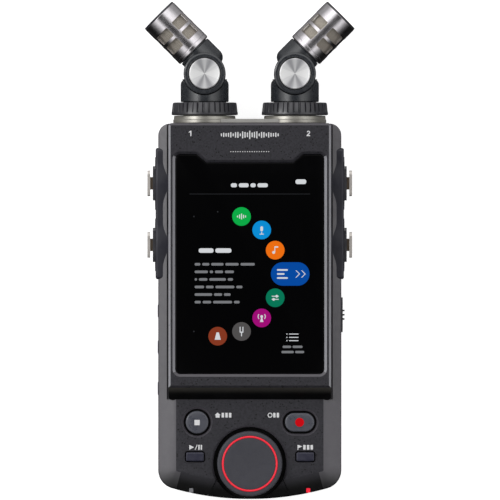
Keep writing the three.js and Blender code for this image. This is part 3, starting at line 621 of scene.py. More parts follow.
def gauze():
    """Woven wire: two crossing sets of bright wires over dark gaps."""
    surface = Surface("mic_gauze", colour(190, 182, 168), 0.42, metallic=0.4)
    split = surface.node("ShaderNodeSeparateXYZ")
    surface.link(surface.place, split.inputs[0])
    pitch = 2 * pi / (0.42 * MM)
    along = surface.math("ADD", split.outputs[0], split.outputs[1])
    across = surface.math("SUBTRACT", split.outputs[0], split.outputs[1])
    waves = []
    for direction in (along, across, split.outputs[2]):
        wave = surface.math("SINE", surface.math("MULTIPLY", direction, pitch * 0.7), 0.0)
        waves.append(surface.math("ABSOLUTE", wave, 0.0))
    holes = surface.math("MINIMUM", surface.math("MINIMUM", waves[0], waves[1]), waves[2])
    wires = surface.ramp(holes, 0.05, 0.4)
    surface.base(surface.mix(wires, colour(214, 207, 196), colour(150, 142, 130)))
    surface.bump(wires, -0.05 * MM, 0.6)
    return surface.material


def glowing(name, shade, strength=1.0):
    """A lit shape of the screen, seen through glossy glass."""
    surface = Surface(name, (0.0, 0.0, 0.0, 1.0), 0.12)
    surface.set("Emission Color", shade)
    surface.set("Emission Strength", strength)
    speck = surface.ramp(surface.noise(0.3 * MM, 1), 0.2, 0.8, 0.10, 0.16)
    surface.rough(speck)
    return surface.material


# Each plastic: its material's name, display colour, roughness and what differs from the usual.
PLASTICS = {
    # The trim plastic is a painted highlight: a light copy of the bezel's plastic for its rim chamfers that
    # face the sides.
    "trim": ("rim_highlight_plastic", (158, 158, 164), 0.32, {"specular": 0.9}),
    "panel": ("panel_plastic", (50, 50, 60), 0.38, {}),
    "dark": ("dark_plastic", (44, 45, 49), 0.42, {}),
    "black": ("black_plastic", (50, 50, 56), 0.34, {"specular": 0.9}),
    "satin_black": ("satin_black_plastic", (46, 49, 54), 0.26, {"depth": 0.008 * MM, "specular": 1.0}),
    "wheel": ("wheel_rubber", (68, 68, 76), 0.5, {"grain": 0.25 * MM}),
    "key": ("key_plastic", (82, 84, 94), 0.3, {"grain": 0.25 * MM, "specular": 0.9}),
    "small_key": ("small_key_plastic", (54, 54, 70), 0.34, {"grain": 0.25 * MM}),
    "case": ("case_plastic", (52, 53, 57), 0.5, {"grain": 0.5 * MM, "depth": 0.03 * MM}),
    "board": ("solder_mask", (24, 78, 48), 0.35, {}),
    "cell": ("cell_sleeve", (40, 60, 48), 0.25, {}),
    "ink": ("white_ink", (226, 227, 230), 0.5, {"depth": 0.004 * MM}),
    "grey_lens": ("grey_lens", (128, 128, 132), 0.3, {}),
}

# Each metal: also the stretch of its brush marks along X, Y and Z.
METALS = {
    "collar": ("collar_metal", (196, 193, 184), 0.34, (0.2, 1.0, 0.2), {"metallic": 0.7}),
    "plate": ("plate_metal", (206, 204, 199), 0.42, (0.15, 1.0, 1.0), {"metallic": 0.5}),
    "head": ("head_metal", (240, 236, 240), 0.22, (1.0, 1.0, 1.0), {"depth": 0.001 * MM}),
    "lever": ("lever_metal", (226, 220, 214), 0.28, (1.0, 0.2, 1.0), {"metallic": 0.3}),
    "lever_stem": ("stem_metal", (112, 98, 84), 0.4, (1.0, 0.2, 1.0), {"metallic": 0.6}),
    "steel": ("steel", (170, 170, 172), 0.3, (1.0, 0.3, 1.0), {}),
    "brass": ("brass", (196, 166, 92), 0.3, (1.0, 1.0, 0.2), {}),
}


def rail_plastic():
    """The sloping rails, near black at the chin: a lighter copy of the case plastic as a painted highlight
    from the side light, with painted shade towards the chin.
    """
    rail = moulded("rail_plastic", colour(82, 79, 86), 0.36, specular=1.0)
    return painted_shade_ramp(rail, 1, CHIN + 5 * MM, CHIN + 15 * MM, colour(10, 10, 12), colour(82, 79, 86))


def slope_painted_shade():
    """The slope at the display's foot, dark below and lighter above: painted shade on a darkened copy of
    the bezel's plastic.
    """
    slope = moulded("bezel_slope_painted_shade", colour(18, 18, 20), 0.45, specular=0.2)
    upper = BEZEL_TOP - BEZEL_EDGE + 0.2 * MM
    return painted_shade_ramp(slope, 2, PANEL + 2.5 * MM, upper, colour(5, 5, 6), colour(66, 64, 60))


def chin_plastic_painted_shade():
    # Painted shade: a darkened copy of the case plastic for faces turned to the chin or sunk below the
    # panel, darkest lowest.
    chin = moulded("chin_plastic_painted_shade", colour(20, 20, 22), 0.4, specular=0.25)
    return painted_shade_ramp(chin, 2, PANEL - 1.9 * MM, PANEL + 0.2 * MM, colour(8, 8, 9), colour(52, 51, 56))


def cover_glass():
    """Black glass with a faint smear and a very low wave."""
    glass = Surface("cover_glass", (0.0015, 0.0015, 0.0018, 1.0), 0.05, specular=0.2)
    glass.rough(glass.ramp(glass.noise(9 * MM, 4), 0.35, 0.75, 0.03, 0.11))
    glass.bump(glass.noise(30 * MM, 2), 0.004 * MM, 0.2)
    return glass


def red_lens():
    # Painted glow: the wheel's red ring is a plain red plastic inlay, no lamp, yet it gives off light. The
    # right light pipe takes the same material.
    red = moulded("red_ring", colour(232, 40, 58), 0.3, depth=0.006 * MM)
    red.set("Emission Color", colour(236, 38, 58))
    red.set("Emission Strength", 0.35)
    return red


def make_materials():
    speckle = speckled("speckled_plastic", colour(53, 52, 58), colour(8, 8, 10), colour(88, 88, 96))
    made = {
        "speckled": speckle.material, "rail": rail_plastic().material, "slope": slope_painted_shade().material,
        "chin": chin_plastic_painted_shade().material, "glass": cover_glass().material, "red": red_lens().material,
        "gauze": gauze(),
    }
    for look, (name, shade, roughness, others) in PLASTICS.items():
        made[look] = moulded(name, colour(*shade), roughness, **others).material
    for look, (name, shade, roughness, stretch, others) in METALS.items():
        made[look] = brushed(name, colour(*shade), roughness, stretch, **others).material
    return made


# ---------------------------------------------------------------- front of the body

FLANGE = 1.1 * MM
KEYS = {
    "stop_button": {"clear": 0.9 * MM, "radius": 4.8 * MM, "rim": 0.8 * MM},
    "record_button": {"clear": 0.9 * MM, "radius": 3.95 * MM, "rim": 0.8 * MM},
    "play_button": {"clear": 0.5 * MM, "radius": 0.7 * MM, "rim": 0.12 * MM},
    "mark_button": {"clear": 0.5 * MM, "radius": 0.7 * MM, "rim": 0.12 * MM},
}


def key_cap(node):
    """Centre, width, height and corner radius of a key's cap."""
    low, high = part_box(node)
    lip = 2 * (KEYS[node]["clear"] + FLANGE)
    width = high.x - low.x - lip
    height = high.y - low.y - lip
    return (low.x + high.x) / 2, (low.y + high.y) / 2, width, height, KEYS[node]["radius"]


def key_ring(node, growth):
    x, y, width, height, radius = key_cap(node)
    return rounded(x, y, width + 2 * growth, height + 2 * growth, radius + growth, 12)


def front_form(name, lift=0.0):
    """The front's outer shape: upright sides, a rounded edge and a wide sloping rail."""
    tall = body_outline(0, CORNER_R, 2 * CHAMFER)
    turn = pi / 2 - asin(CHAMFER_DROP / hypot(CHAMFER, CHAMFER_DROP))
    start = PANEL - CHAMFER_DROP + lift - SIDE_EDGE_R * tan(turn / 2)
    levels = [(0, 0), (0, start)]
    for step in range(1, 6):
        angle = turn * step / 5
        levels.append((-SIDE_EDGE_R * (1 - cos(angle)), start + SIDE_EDGE_R * sin(angle)))
    levels.append((-CHAMFER, PANEL + lift))
    return slab(name, tall, levels)


def side_span(node):
    """How far the inner and the outer face of a side part are from the middle."""
    low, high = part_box(node)
    return sorted((abs(low.x), abs(high.x)))


def side_panel_outline(side):
    """A side panel seen from its side: a strip that swells over and under each jack."""
    low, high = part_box(f"{side_name(side)}_jack_panel")
    rows = [jack_centre(side, row) for row in ("upper", "lower")]
    strip_top = high.z - BOSS_RISE
    strip_foot = low.z + 1 * MM
    corner = 1.5 * MM

    def upper(y):
        swell = 0.0
        for row_y, _, _ in rows:
            if abs(y - row_y) < BOSS_REACH:
                swell = cos(pi * (y - row_y) / (2 * BOSS_REACH)) ** 2
        return strip_top + swell * BOSS_RISE

    def lower(y):
        foot = strip_foot
        for row_y, row_z, _ in rows:
            if abs(y - row_y) < BOSS_R:
                foot = min(foot, row_z - sqrt(BOSS_R ** 2 - (y - row_y) ** 2))
        return foot

    steps = 110
    start = low.y + corner
    run = [start + (high.y - low.y - 2 * corner) * step / steps for step in range(steps + 1)]
    points = [(y, lower(y)) for y in run]
    points += arc(high.y - corner, strip_foot + corner, corner, 270, 360, 6)
    points += arc(high.y - corner, strip_top - corner, corner, 0, 90, 6)
    points += [(y, upper(y)) for y in reversed(run)]
    points += arc(start, strip_top - corner, corner, 90, 180, 6)
    points += arc(start, strip_foot + corner, corner, 180, 270, 6)
    return apart(points)


def side_panel_room(side):
    """What the front case leaves clear for a side panel."""
    inner, outer = side_span(f"{side_name(side)}_jack_panel")
    return slab("room", side_panel_outline(side), [(GAP, inner - GAP), (GAP, outer + GAP)], facing_x(side))


def make_side_panel(side, looks):
    """A side panel with a soft outer edge, round holes for its jacks and slots for their latches."""
    name = f"{side_name(side)}_jack_panel"
    inner, outer = side_span(name)
    levels = eased(inner, outer, 0, 0.9 * MM, 5)
    through = [(0, inner - 1 * MM), (0, outer + 1 * MM)]
    panel = slab(f"{name}_shell", side_panel_outline(side), levels, facing_x(side))
    cutters = []
    for row in ("upper", "lower"):
        y, z, radius = jack_centre(side, row)
        latch = rounded(y, z + radius - 2.3 * MM, 15.1 * MM, 5.2 * MM, 1.2 * MM)
        cutters.append(slab("hole", disc(y, z, radius + GAP, 96), through, facing_x(side)))
        cutters.append(slab("latch", latch, through, facing_x(side)))
    panel = tidy(cut(panel, *cutters))
    smooth(paint(panel, looks["panel"]), 30)
    return place(panel, "body", "black_plastic", name)


def jack_centre(side, row):
    """Y and Z of a jack's axis, and its radius."""
    low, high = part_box(f"{side_name(side)}_{row}_jack")
    radius = (high.y - low.y) / 2
    return (low.y + high.y) / 2, low.z + radius, radius


def side_room(node, side, radius, deep=6 * MM, trim=(0, 0)):
    """A hole through a side wall for a CAD node, less the part of its box that stays inside."""
    low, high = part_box(node)
    outline = rounded(
        (low.y + high.y) / 2, (low.z + high.z) / 2,
        high.y - low.y - 2 * trim[0] + 2 * GAP, high.z - low.z - 2 * trim[1] + 2 * GAP,
        radius, 6)
    return slab("room", outline, [(0, HALF - deep), (0, HALF + 4 * MM)], facing_x(side))


def side_rooms():
    """Every hole in the side walls apart from those of the side panels."""
    return [
        side_room("phones_jack", -1, 2.9 * MM),
        side_room("volume_up_key", -1, 1.5 * MM, trim=(1.5 * MM, 1.5 * MM)),
        side_room("volume_down_key", -1, 1.5 * MM, trim=(1.5 * MM, 1.5 * MM)),
        side_room("power_slider", 1, 1.5 * MM, trim=(3 * MM, 1.5 * MM)),
        side_room("usb_port", 1, 1 * MM),
        side_room("card_door", 1, 0.3 * MM, deep=3 * MM),
    ]


def seam(side):
    """A fine groove from the panel's edge to the outer edge beside the wheel's scoop."""
    start = Vector((side * 13.6 * MM, CHIN + 9.2 * MM))
    end = Vector((side * 17.9 * MM, CHIN + 0.2 * MM))
    along = (end - start).normalized()
    across = Vector((-along.y, along.x)) * 0.14 * MM
    outline = [start + across, end + across, end - across, start - across]
    outline = [(point.x, point.y) for point in (outline if side > 0 else reversed(outline))]
    return slab("seam", outline, [(0, PANEL - CHAMFER_DROP - 0.6 * MM), (0, PANEL + 1 * MM)])


def flared(floor, rim, depth):
    """Levels for a hole in the panel that widens by a rim near the surface."""
    return [(0, floor), (0, PANEL - depth), (rim, PANEL + 0.001 * MM), (rim, PANEL + 1 * MM)]


def make_front_case(looks):
    """The front shell, with the wheel's scoop and every hole in its face and its sides."""
    shell = slab("front_case_shell", body_outline(0, SHOULDER_R), [(0, SPLIT), (0, PANEL + 2 * MM)])
    shell = common(shell, front_form("form"))
    inset = body_outline(WALL)
    hollow = slab("hollow", inset, [
        (0, SPLIT - 1 * MM), (0, PANEL - WALL - CHAMFER_DROP), (WALL - CHAMFER, PANEL - WALL)])
    shell = cut(shell, hollow)
    scoop_r = WHEEL_R + WHEEL_MARGIN
    cup = common(
        rod("cup", scoop_r + WALL, WHEEL_FLOOR - WALL, PANEL - 0.5 * MM, AT_WHEEL, 96),
        slab("within", body_outline(0.05 * MM), [
            (0, SPLIT), (0, PANEL - 3.2 * MM), (-CHAMFER, PANEL - 0.2 * MM)]))
    shell = join(shell, cup)
    cutters = [
        slab("scoop", disc(0, WHEEL_Y, scoop_r, 96), flared(WHEEL_FLOOR, 0.7 * MM, 0.7 * MM)),
        rod("axle", 2.9 * MM, SPLIT, PANEL, AT_WHEEL, 32),
    ]
    for node, sizes in KEYS.items():
        rim = sizes["rim"]
        levels = flared(PANEL - 2 * WALL, rim, rim * 0.8)
        cutters.append(slab("hole", key_ring(node, sizes["clear"]), levels))
    for side in (-1, 1):
        low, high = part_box(f"{side_name(side)}_light_pipe")
        cutters.append(block(
            "light", (low.x - 0.15 * MM, low.y - 0.15 * MM, low.z - 2 * MM),
            (high.x + 0.15 * MM, high.y + 0.15 * MM, PANEL + 1 * MM)))
        cutters.append(seam(side))
        cutters.append(side_panel_room(side))
        groove_x = sorted((side * (bezel_high.x - 1 * MM), side * (bezel_high.x + 0.75 * MM)))
        cutters.append(block(
            "groove", (groove_x[0], bezel_low.y + 0.2 * MM, PANEL - 2.6 * MM),
            (groove_x[1], SHOULDER + 1 * MM, PANEL + 1 * MM)))
    cutters += side_rooms()
    shell = tidy(cut(shell, *cutters))
    # Painted shade by place and facing: the scoop's floor round the wheel and the middle of the chin's
    # slope take the dark chin copy; the rest of the sides and rails take the rail copy with its painted
    # highlight and shade.
    paint(shell, looks["rail"], looks["speckled"], looks["chin"])
    for face in shell.data.polygons:
        centre = face.center
        if face.normal.z > 0.99 and centre.z > PANEL - 0.05 * MM:
            face.material_index = 1
        elif centre.z < PANEL - 3.3 * MM and hypot(centre.x, centre.y - WHEEL_Y) < WHEEL_R + 3 * MM:
            face.material_index = 2
        elif face.normal.y < -0.3 and face.normal.z > 0.5 and centre.y < CHIN + CHAMFER + 3 * MM:
            face.material_index = 2 if abs(centre.x) < HALF - CORNER_R else 0
    soften(shell, 0.14 * MM, 2, 30)
    return place(shell, "body", "case_plastic", "front_case")


def make_bezel(looks):
    """The raised block round the display: a sloped foot and a window with a chamfered rim."""
    top = bezel_high.y
    foot = bezel_low.y
    front = BEZEL_TOP
    outline = filleted([
        (bezel_high.x, top, 1.5 * MM), (bezel_low.x, top, 1.5 * MM),
        (bezel_low.x, foot, 1.5 * MM), (bezel_high.x, foot, 1.5 * MM)], 8)
    base = PANEL - CHAMFER_DROP
    bezel = slab("display_bezel_shell", outline, [
        (0, base), (0, front - BEZEL_EDGE), (-BEZEL_EDGE, front)])
    wedge_points = [
        (foot - 5 * MM, base - 1 * MM), (foot - 0.001 * MM, base - 1 * MM), (foot - 0.001 * MM, PANEL),
        (foot + BEZEL_SLOPE, front - BEZEL_EDGE), (foot + BEZEL_SLOPE + BEZEL_EDGE, front),
        (foot + BEZEL_SLOPE + BEZEL_EDGE, front + 2 * MM), (foot - 5 * MM, front + 2 * MM)]
    wedge_points.reverse()
    wedge = slab("wedge", wedge_points, [(0, -HALF), (0, HALF)], facing_x(1))
    bezel = cut(bezel, wedge)
    window = slab("window", glass_outline(GAP), [
        (0, base - 1 * MM), (0, front - 0.8 * MM), (RIM, front + 0.001 * MM), (RIM, front + 1 * MM)])
    pocket = block(
        "pocket", (glass_low.x - 0.9 * MM, glass_low.y - 0.9 * MM, base - 1 * MM),
        (glass_high.x + 0.9 * MM, glass_high.y + 0.9 * MM, glass_low.z - GAP))
    bezel = cut(bezel, front_form("form", GAP), window, pocket)
    tidy(bezel)
    # Painted light by facing: the foot slope takes the painted shade, faces near the front turned to the
    # sides take the light trim copy as a painted highlight, those turned to the microphones take the rail's
    # lighter copy, and those turned to the chin keep the dark speckled plastic.
    paint(bezel, looks["speckled"], looks["trim"], looks["slope"], looks["rail"])
    for face in bezel.data.polygons:
        if face.normal.y < -0.5 and face.center.y < foot + BEZEL_SLOPE:
            face.material_index = 2
        elif 0.3 < face.normal.z < 0.95 and face.center.z > front - 1.2 * MM:
            if face.normal.y > 0.3:
                face.material_index = 3
            elif face.normal.y > -0.2:
                face.material_index = 1
    soften(bezel, 0.12 * MM, 2, 25)
    return place(bezel, "body", "case_plastic", "display_bezel")


def make_glass(looks):
    glass = slab("cover_glass", glass_outline(), eased(glass_low.z, glass_high.z, 0.1 * MM, 0.2 * MM))
    smooth(paint(glass, looks["glass"]))
    return place(glass, "body", "cover_glass", "touch_glass")


# ---------------------------------------------------------------- screen picture

def flat(name, points, z, material, thickness=0.02 * MM):
    piece = slab(name, points, [(0, z), (0, z + thickness)])
    return paint(piece, material)


def bar(x, y, width, height):
    return rounded(x + width / 2, y, width, height, height * 0.45, 4)


def gathered(name, pieces, body="body", slot="cover_glass"):
    """Joins small flat pieces into one that keeps their materials."""
    materials = []
    made = bmesh.new()
    for piece in pieces:
        material = piece.data.materials[0]
        if material not in materials:
            materials.append(material)
        index = materials.index(material)
        start = len(made.faces)
        made.from_mesh(piece.data)
        made.faces.ensure_lookup_table()
        for face in made.faces[start:]:
            face.material_index = index
        bpy.data.objects.remove(piece)
    mesh = bpy.data.meshes.new(name)
    made.to_mesh(mesh)
    made.free()
    whole = bpy.data.objects.new(name, mesh)
    bpy.context.scene.collection.objects.link(whole)
    paint(whole, *materials)
    return place(whole, body, slot)


def words(x, y, widths, height, z, material, space=0.75 * MM):
    """A line of plain bars that stands for words."""
    pieces = []
    for width in widths:
        pieces.append(flat("word", bar(x, y, width, height), z, material))
        x += width + space
    return pieces


DIAL_X = -13.55 * MM
DIAL_DOWN = 4.2 * MM
DIAL_R = 26.3 * MM
DIAL_STEP = 22.5
ICON_R = 3.95 * MM
ICONS = [
    (3, (12, 182, 76), "bars"),
    (2, (10, 150, 226), "microphone"),
    (1, (252, 118, 18), "note"),
    (-1, (6, 126, 92), "slider"),
    (-2, (170, 14, 126), "mast"),
    (-3, (86, 84, 84), "fork"),
    (-4, (142, 60, 36), "pendulum"),
]


def icon_shapes(kind, x, y):
    """Outlines of a small sign about (x, y), each a few bars, discs and triangles."""
    unit = 0.5 * MM
    if kind == "bars":
        heights = (1.6, 3.4, 5.0, 3.0, 1.8)
        return [rounded(x + (i - 2) * 1.7 * unit, y, 0.9 * unit, h * unit, 0.4 * unit, 3)
                for i, h in enumerate(heights)]
    if kind == "microphone":
        return [rounded(x, y + 1.0 * unit, 2.3 * unit, 4.2 * unit, 1.1 * unit, 5),
                rounded(x, y - 2.4 * unit, 0.7 * unit, 1.8 * unit, 0.2 * unit, 3),
                rounded(x, y - 3.5 * unit, 3.6 * unit, 0.7 * unit, 0.3 * unit, 3)]
    if kind == "note":
        return [disc(x - 1.3 * unit, y - 1.9 * unit, 1.25 * unit, 16),
                rounded(x - 0.3 * unit, y + 0.7 * unit, 0.7 * unit, 5.2 * unit, 0.3 * unit, 3),
                rounded(x + 1.0 * unit, y + 2.7 * unit, 3.2 * unit, 1.2 * unit, 0.4 * unit, 3)]
    if kind == "slider":
        return [rounded(x, y + 1.3 * unit, 6.0 * unit, 0.7 * unit, 0.3 * unit, 3),
                rounded(x, y - 1.3 * unit, 6.0 * unit, 0.7 * unit, 0.3 * unit, 3),
                disc(x + 1.3 * unit, y + 1.3 * unit, 1.15 * unit, 16),
                disc(x - 1.3 * unit, y - 1.3 * unit, 1.15 * unit, 16)]
    if kind == "mast":
        tip = y + 1.2 * unit
        waves = [arc(x, tip, 3.4 * unit, first, last, 8) + arc(x, tip, 2.7 * unit, last, first, 8)
                 for first, last in ((-40, 40), (140, 220))]
        return [disc(x, tip, 1.2 * unit, 16),
                [(x + 1.5 * unit, y - 3.4 * unit), (x + 0.4 * unit, y + 0.4 * unit),
                 (x - 0.4 * unit, y + 0.4 * unit), (x - 1.5 * unit, y - 3.4 * unit)], *waves]
    if kind == "fork":
        return [rounded(x - 1.2 * unit, y + 1.8 * unit, 0.8 * unit, 4.4 * unit, 0.3 * unit, 3),
                rounded(x + 1.2 * unit, y + 1.8 * unit, 0.8 * unit, 4.4 * unit, 0.3 * unit, 3),
                rounded(x, y - 0.6 * unit, 3.2 * unit, 0.9 * unit, 0.4 * unit, 3),
                rounded(x, y - 2.4 * unit, 0.8 * unit, 3.4 * unit, 0.3 * unit, 3)]
    return [[(x + 2.6 * unit, y - 3.0 * unit), (x + 1.0 * unit, y + 3.2 * unit),
             (x - 1.0 * unit, y + 3.2 * unit), (x - 2.6 * unit, y - 3.0 * unit)]]


def make_screen_picture():
    """The menu: a dial of round signs, a blue choice, and plain bars in place of words."""
    z = glass_high.z + 0.004 * MM
    mid_y = (glass_low.y + glass_high.y) / 2
    dial_y = mid_y - DIAL_DOWN
    white = glowing("screen_white", colour(225, 228, 232), 0.85)
    dim = glowing("screen_dim", colour(150, 152, 156), 0.6)
    faint = glowing("screen_faint", colour(70, 72, 76), 0.5)
    blue = glowing("screen_blue", colour(4, 76, 166), 0.9)
    title = (2.6 * MM, 4.2 * MM, 2.2 * MM, 4.4 * MM)
    pieces = words(-8.0 * MM, mid_y + 33.3 * MM, title, 1.7 * MM, z, white)
    pieces.append(flat("battery", bar(19.3 * MM, mid_y + 34.8 * MM, 4.6 * MM, 2.0 * MM), z, white))
    pieces.append(flat("rule", rounded(0, mid_y + 29.6 * MM, 51 * MM, 0.16 * MM, 0.05 * MM, 2), z, faint))
    for step, shade, kind in ICONS:
        angle = radians(step * DIAL_STEP)
        x = DIAL_X + DIAL_R * cos(angle)
        y = dial_y + DIAL_R * sin(angle)
        tone = glowing(f"screen_{kind}", colour(*shade), 0.85)
        pieces.append(flat("sign", disc(x, y, ICON_R, 40), z, tone))
        for shape in icon_shapes(kind, x, y):
            pieces.append(flat("mark", shape, z + 0.03 * MM, white))
    for step in (4, 5, -5):
        angle = radians(step * DIAL_STEP)
        x = DIAL_X + DIAL_R * cos(angle)
        y = dial_y + DIAL_R * sin(angle)
        pieces.append(flat("dot", disc(x, y, 0.28 * MM, 12), z, faint))
    pill_x = 17.1 * MM
    pieces.append(flat("choice", rounded(pill_x, dial_y, 16.3 * MM, 9.9 * MM, 4.94 * MM, 12), z, blue))
    for offset in (0, 2.4 * MM):
        x = pill_x + 2.2 * MM + offset
        stroke = 0.45 * MM
        size = 1.5 * MM
        pieces.append(flat("chevron", [
            (x + stroke, dial_y + size), (x, dial_y + size), (x + size, dial_y),
            (x, dial_y - size), (x + stroke, dial_y - size), (x + size + stroke, dial_y)],
            z + 0.03 * MM, white))
    for row, width in enumerate((4.6, 3.2, 4.6)):
        y = dial_y + (1 - row) * 1.7 * MM
        pieces.append(flat("row", bar(pill_x - 5.6 * MM, y, width * MM, 0.7 * MM), z + 0.03 * MM, white))
    pieces += words(-21.6 * MM, mid_y + 5.7 * MM, (6.3 * MM, 6.8 * MM), 1.9 * MM, z, white)
    lines = [
        (2.4, 3.0, 5.2, 5.6, 6.0), (5.6, 1.4, 3.4, 3.8), (1.0, 3.6, 7.0, 2.2),
        (4.0, 3.2, 8.0, 2.6), (7.4, 3.4, 2.8), (2.6, 3.6, 8.0, 2.4)]
    for row, widths in enumerate(lines):
        y = mid_y - 0.1 * MM - row * 3.2 * MM
        pieces += words(-23.3 * MM, y, [width * MM for width in widths], 1.1 * MM, z, dim, 0.8 * MM)
    for row in range(3):
        y = mid_y - (29.6 + 1.4 * row) * MM
        pieces.append(flat("row", bar(16.6 * MM, y, 4.0 * MM, 0.35 * MM), z, white))
        pieces.append(flat("row", disc(15.7 * MM, y, 0.25 * MM, 10), z, white))
    pieces += words(13.9 * MM, mid_y - 35.0 * MM, (3.6 * MM, 4.2 * MM), 1.0 * MM, z, dim, 0.6 * MM)
    pieces += words(13.4 * MM, mid_y - 37.2 * MM, (5.2 * MM, 3.8 * MM), 1.0 * MM, z, dim, 0.6 * MM)
    return gathered("screen_picture", pieces)


# ---------------------------------------------------------------- printed signs

def digit_one(x, y, height):
    half = height / 2
    stroke = height * 0.2
    return [[(x + stroke / 2, y - half), (x + stroke / 2, y + half), (x - stroke * 0.4, y + half),
             (x - stroke * 1.9, y + half * 0.55), (x - stroke * 1.9, y + half * 0.2),
             (x - stroke / 2, y + half * 0.5), (x - stroke / 2, y - half)]]


def digit_two(x, y, height):
    half = height / 2
    stroke = height * 0.18
    outer = arc(x, y + half * 0.38, half * 0.62, 170, -35, 12)
    inner = arc(x, y + half * 0.38, half * 0.62 - stroke, -35, 170, 12)
    hook = outer + [(x - half * 0.05, y - half + stroke), (x + half * 0.62, y - half + stroke),
                    (x + half * 0.62, y - half), (x - half * 0.66, y - half),
                    (x - half * 0.66, y - half + stroke)] + inner
    hook.reverse()
    return [hook]


def house(x, y, size):
    roof = [(x + size * 0.62, y), (x, y + size * 0.55), (x - size * 0.62, y)]
    return [roof, rounded(x, y - size * 0.25, size * 0.8, size * 0.5, size * 0.04, 2)]


def make_panel_print(looks):
    """Channel numbers, a row of level bars and the signs beside the keys, in white ink."""
    ink = looks["ink"]
    on_bezel = BEZEL_TOP - 0.002 * MM
    on_panel = PANEL - 0.002 * MM
    pieces = []
    number_y = SHOULDER - 4.3 * MM
    for shape in digit_one(-24.9 * MM, number_y, 2.3 * MM):
        pieces.append(flat("one", shape, on_bezel, ink))
    for shape in digit_two(24.8 * MM, number_y, 2.3 * MM):
        pieces.append(flat("two", shape, on_bezel, ink))
    for index in range(-12, 13):
        height = (1.0 + 2.6 * abs(cos(index * 1.15)) * (1 - abs(index) / 17)) * MM
        pieces.append(flat(
            "level", rounded(index * 1.0 * MM, number_y - 0.6 * MM, 0.52 * MM, height, 0.24 * MM, 3),
            on_bezel, ink))
    for index in range(-8, 9):
        dot = disc(index * 1.0 * MM, SHOULDER - 12.0 * MM, 0.22 * MM, 12)
        pieces.append(flat("mark", dot, on_bezel, ink))
    stop_x, stop_y = key_cap("stop_button")[:2]
    record_x = key_cap("record_button")[0]
    row_y = stop_y + 3.0 * MM
    for shape in house(stop_x + 8.7 * MM, row_y, 2.1 * MM):
        pieces.append(flat("home", shape, on_panel, ink))
    for index in range(3):
        x = stop_x + (10.9 + 1.55 * index) * MM
        pieces.append(flat("home_bar", rounded(x, row_y, 1.05 * MM, 2.0 * MM, 0.2 * MM, 3), on_panel, ink))
    ring_x = record_x - 12.5 * MM
    ring = arc(ring_x, row_y, 1.05 * MM, 0, 355, 30) + arc(ring_x, row_y, 0.65 * MM, 355, 0, 30)
    pieces.append(flat("ring", ring, on_panel, ink))
    for index in range(2):
        x = record_x - (10.7 - 1.5 * index) * MM
        pieces.append(flat("ring_bar", rounded(x, row_y, 1.0 * MM, 2.0 * MM, 0.2 * MM, 3), on_panel, ink))
    play_x, play_y = key_cap("play_button")[:2]
    sign_y = play_y + 4.0 * MM
    left = play_x - 2.4 * MM
    pieces.append(flat("play", [
        (left + 2.0 * MM, sign_y), (left, sign_y + 1.05 * MM), (left, sign_y - 1.05 * MM)], on_panel, ink))
    pieces.append(flat("slash", [
        (left + 3.5 * MM, sign_y + 1.05 * MM), (left + 3.15 * MM, sign_y + 1.05 * MM),
        (left + 2.3 * MM, sign_y - 1.05 * MM), (left + 2.65 * MM, sign_y - 1.05 * MM)], on_panel, ink))
    for offset in (4.1 * MM, 5.1 * MM):
        stroke = rounded(left + offset, sign_y, 0.6 * MM, 2.1 * MM, 0.05 * MM, 2)
        pieces.append(flat("pause", stroke, on_panel, ink))
    mark_x, mark_y = key_cap("mark_button")[:2]
    flag_y = mark_y + 4.0 * MM
    pole_x = mark_x - 3.1 * MM
    pieces.append(flat("pole", rounded(pole_x, flag_y, 0.35 * MM, 2.1 * MM, 0.1 * MM, 2), on_panel, ink))
    pieces.append(flat("flag", [
        (pole_x + 0.17 * MM, flag_y + 1.05 * MM), (pole_x + 0.17 * MM, flag_y - 0.35 * MM),
        (pole_x + 1.9 * MM, flag_y + 0.35 * MM)], on_panel, ink))
    for index in range(3):
        x = mark_x + (-0.35 + 1.55 * index) * MM
        pieces.append(flat("flag_bar", rounded(x, flag_y, 1.05 * MM, 2.0 * MM, 0.2 * MM, 3), on_panel, ink))
    return gathered("panel_print", pieces, slot="case_plastic")


# ---------------------------------------------------------------- wheel and keys

def make_wheel(looks):
    """The wheel with its rounded rim, dished face and the groove that holds the red ring."""
    base, top = wheel_low.z, wheel_high.z
    deck = WHEEL_FLOOR + 2 * GAP
    ring_low, ring_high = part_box("wheel_ring")
    outer = (ring_high.x - ring_low.x) / 2 - 0.3 * MM
    inner = outer - 0.8 * MM
    sink = 0.25 * MM
    edge_r = 0.9 * MM
    face = top - 0.05 * MM
    profile = [
        (0, base), (2.5 * MM, base), (2.6 * MM, base + 0.1 * MM), (2.6 * MM, deck),
        (WHEEL_R - 0.7 * MM, deck), (WHEEL_R, deck + 0.7 * MM), (WHEEL_R, top - 1.0 * MM)]
    for step in range(1, 7):
        angle = radians(90 * step / 6)
        profile.append((WHEEL_R - edge_r + edge_r * cos(angle), top - 1.0 * MM + edge_r * sin(angle)))
    profile += [
        (outer + 0.14 * MM, face), (outer + 0.1 * MM, top - 1.2 * MM),
        (inner - 0.1 * MM, top - 1.2 * MM), (inner - 0.14 * MM, top - 0.08 * MM),
        (inner - 0.5 * MM, face)]
    for step in range(1, 9):
        share = step / 8
        profile.append(((inner - 0.5 * MM) * (1 - share), face - sink * (1 - (1 - share) ** 2)))
    wheel = turned("jog_wheel_cap", profile, AT_WHEEL, 128)
    smooth(paint(wheel, looks["wheel"]), 40)
    place(wheel, "jog_wheel", "key_plastic", "jog_wheel")
    ring_base = top - 1.1 * MM
    ring = turned("wheel_ring_light", [
        (inner, ring_base), (outer, ring_base), (outer, top - 0.12 * MM), (outer - 0.12 * MM, top),
        (inner + 0.12 * MM, top), (inner, top - 0.12 * MM)], AT_WHEEL, 128)
    smooth(paint(ring, looks["red"]), 50)
    place(ring, "jog_wheel", "red_lens", "wheel_ring")


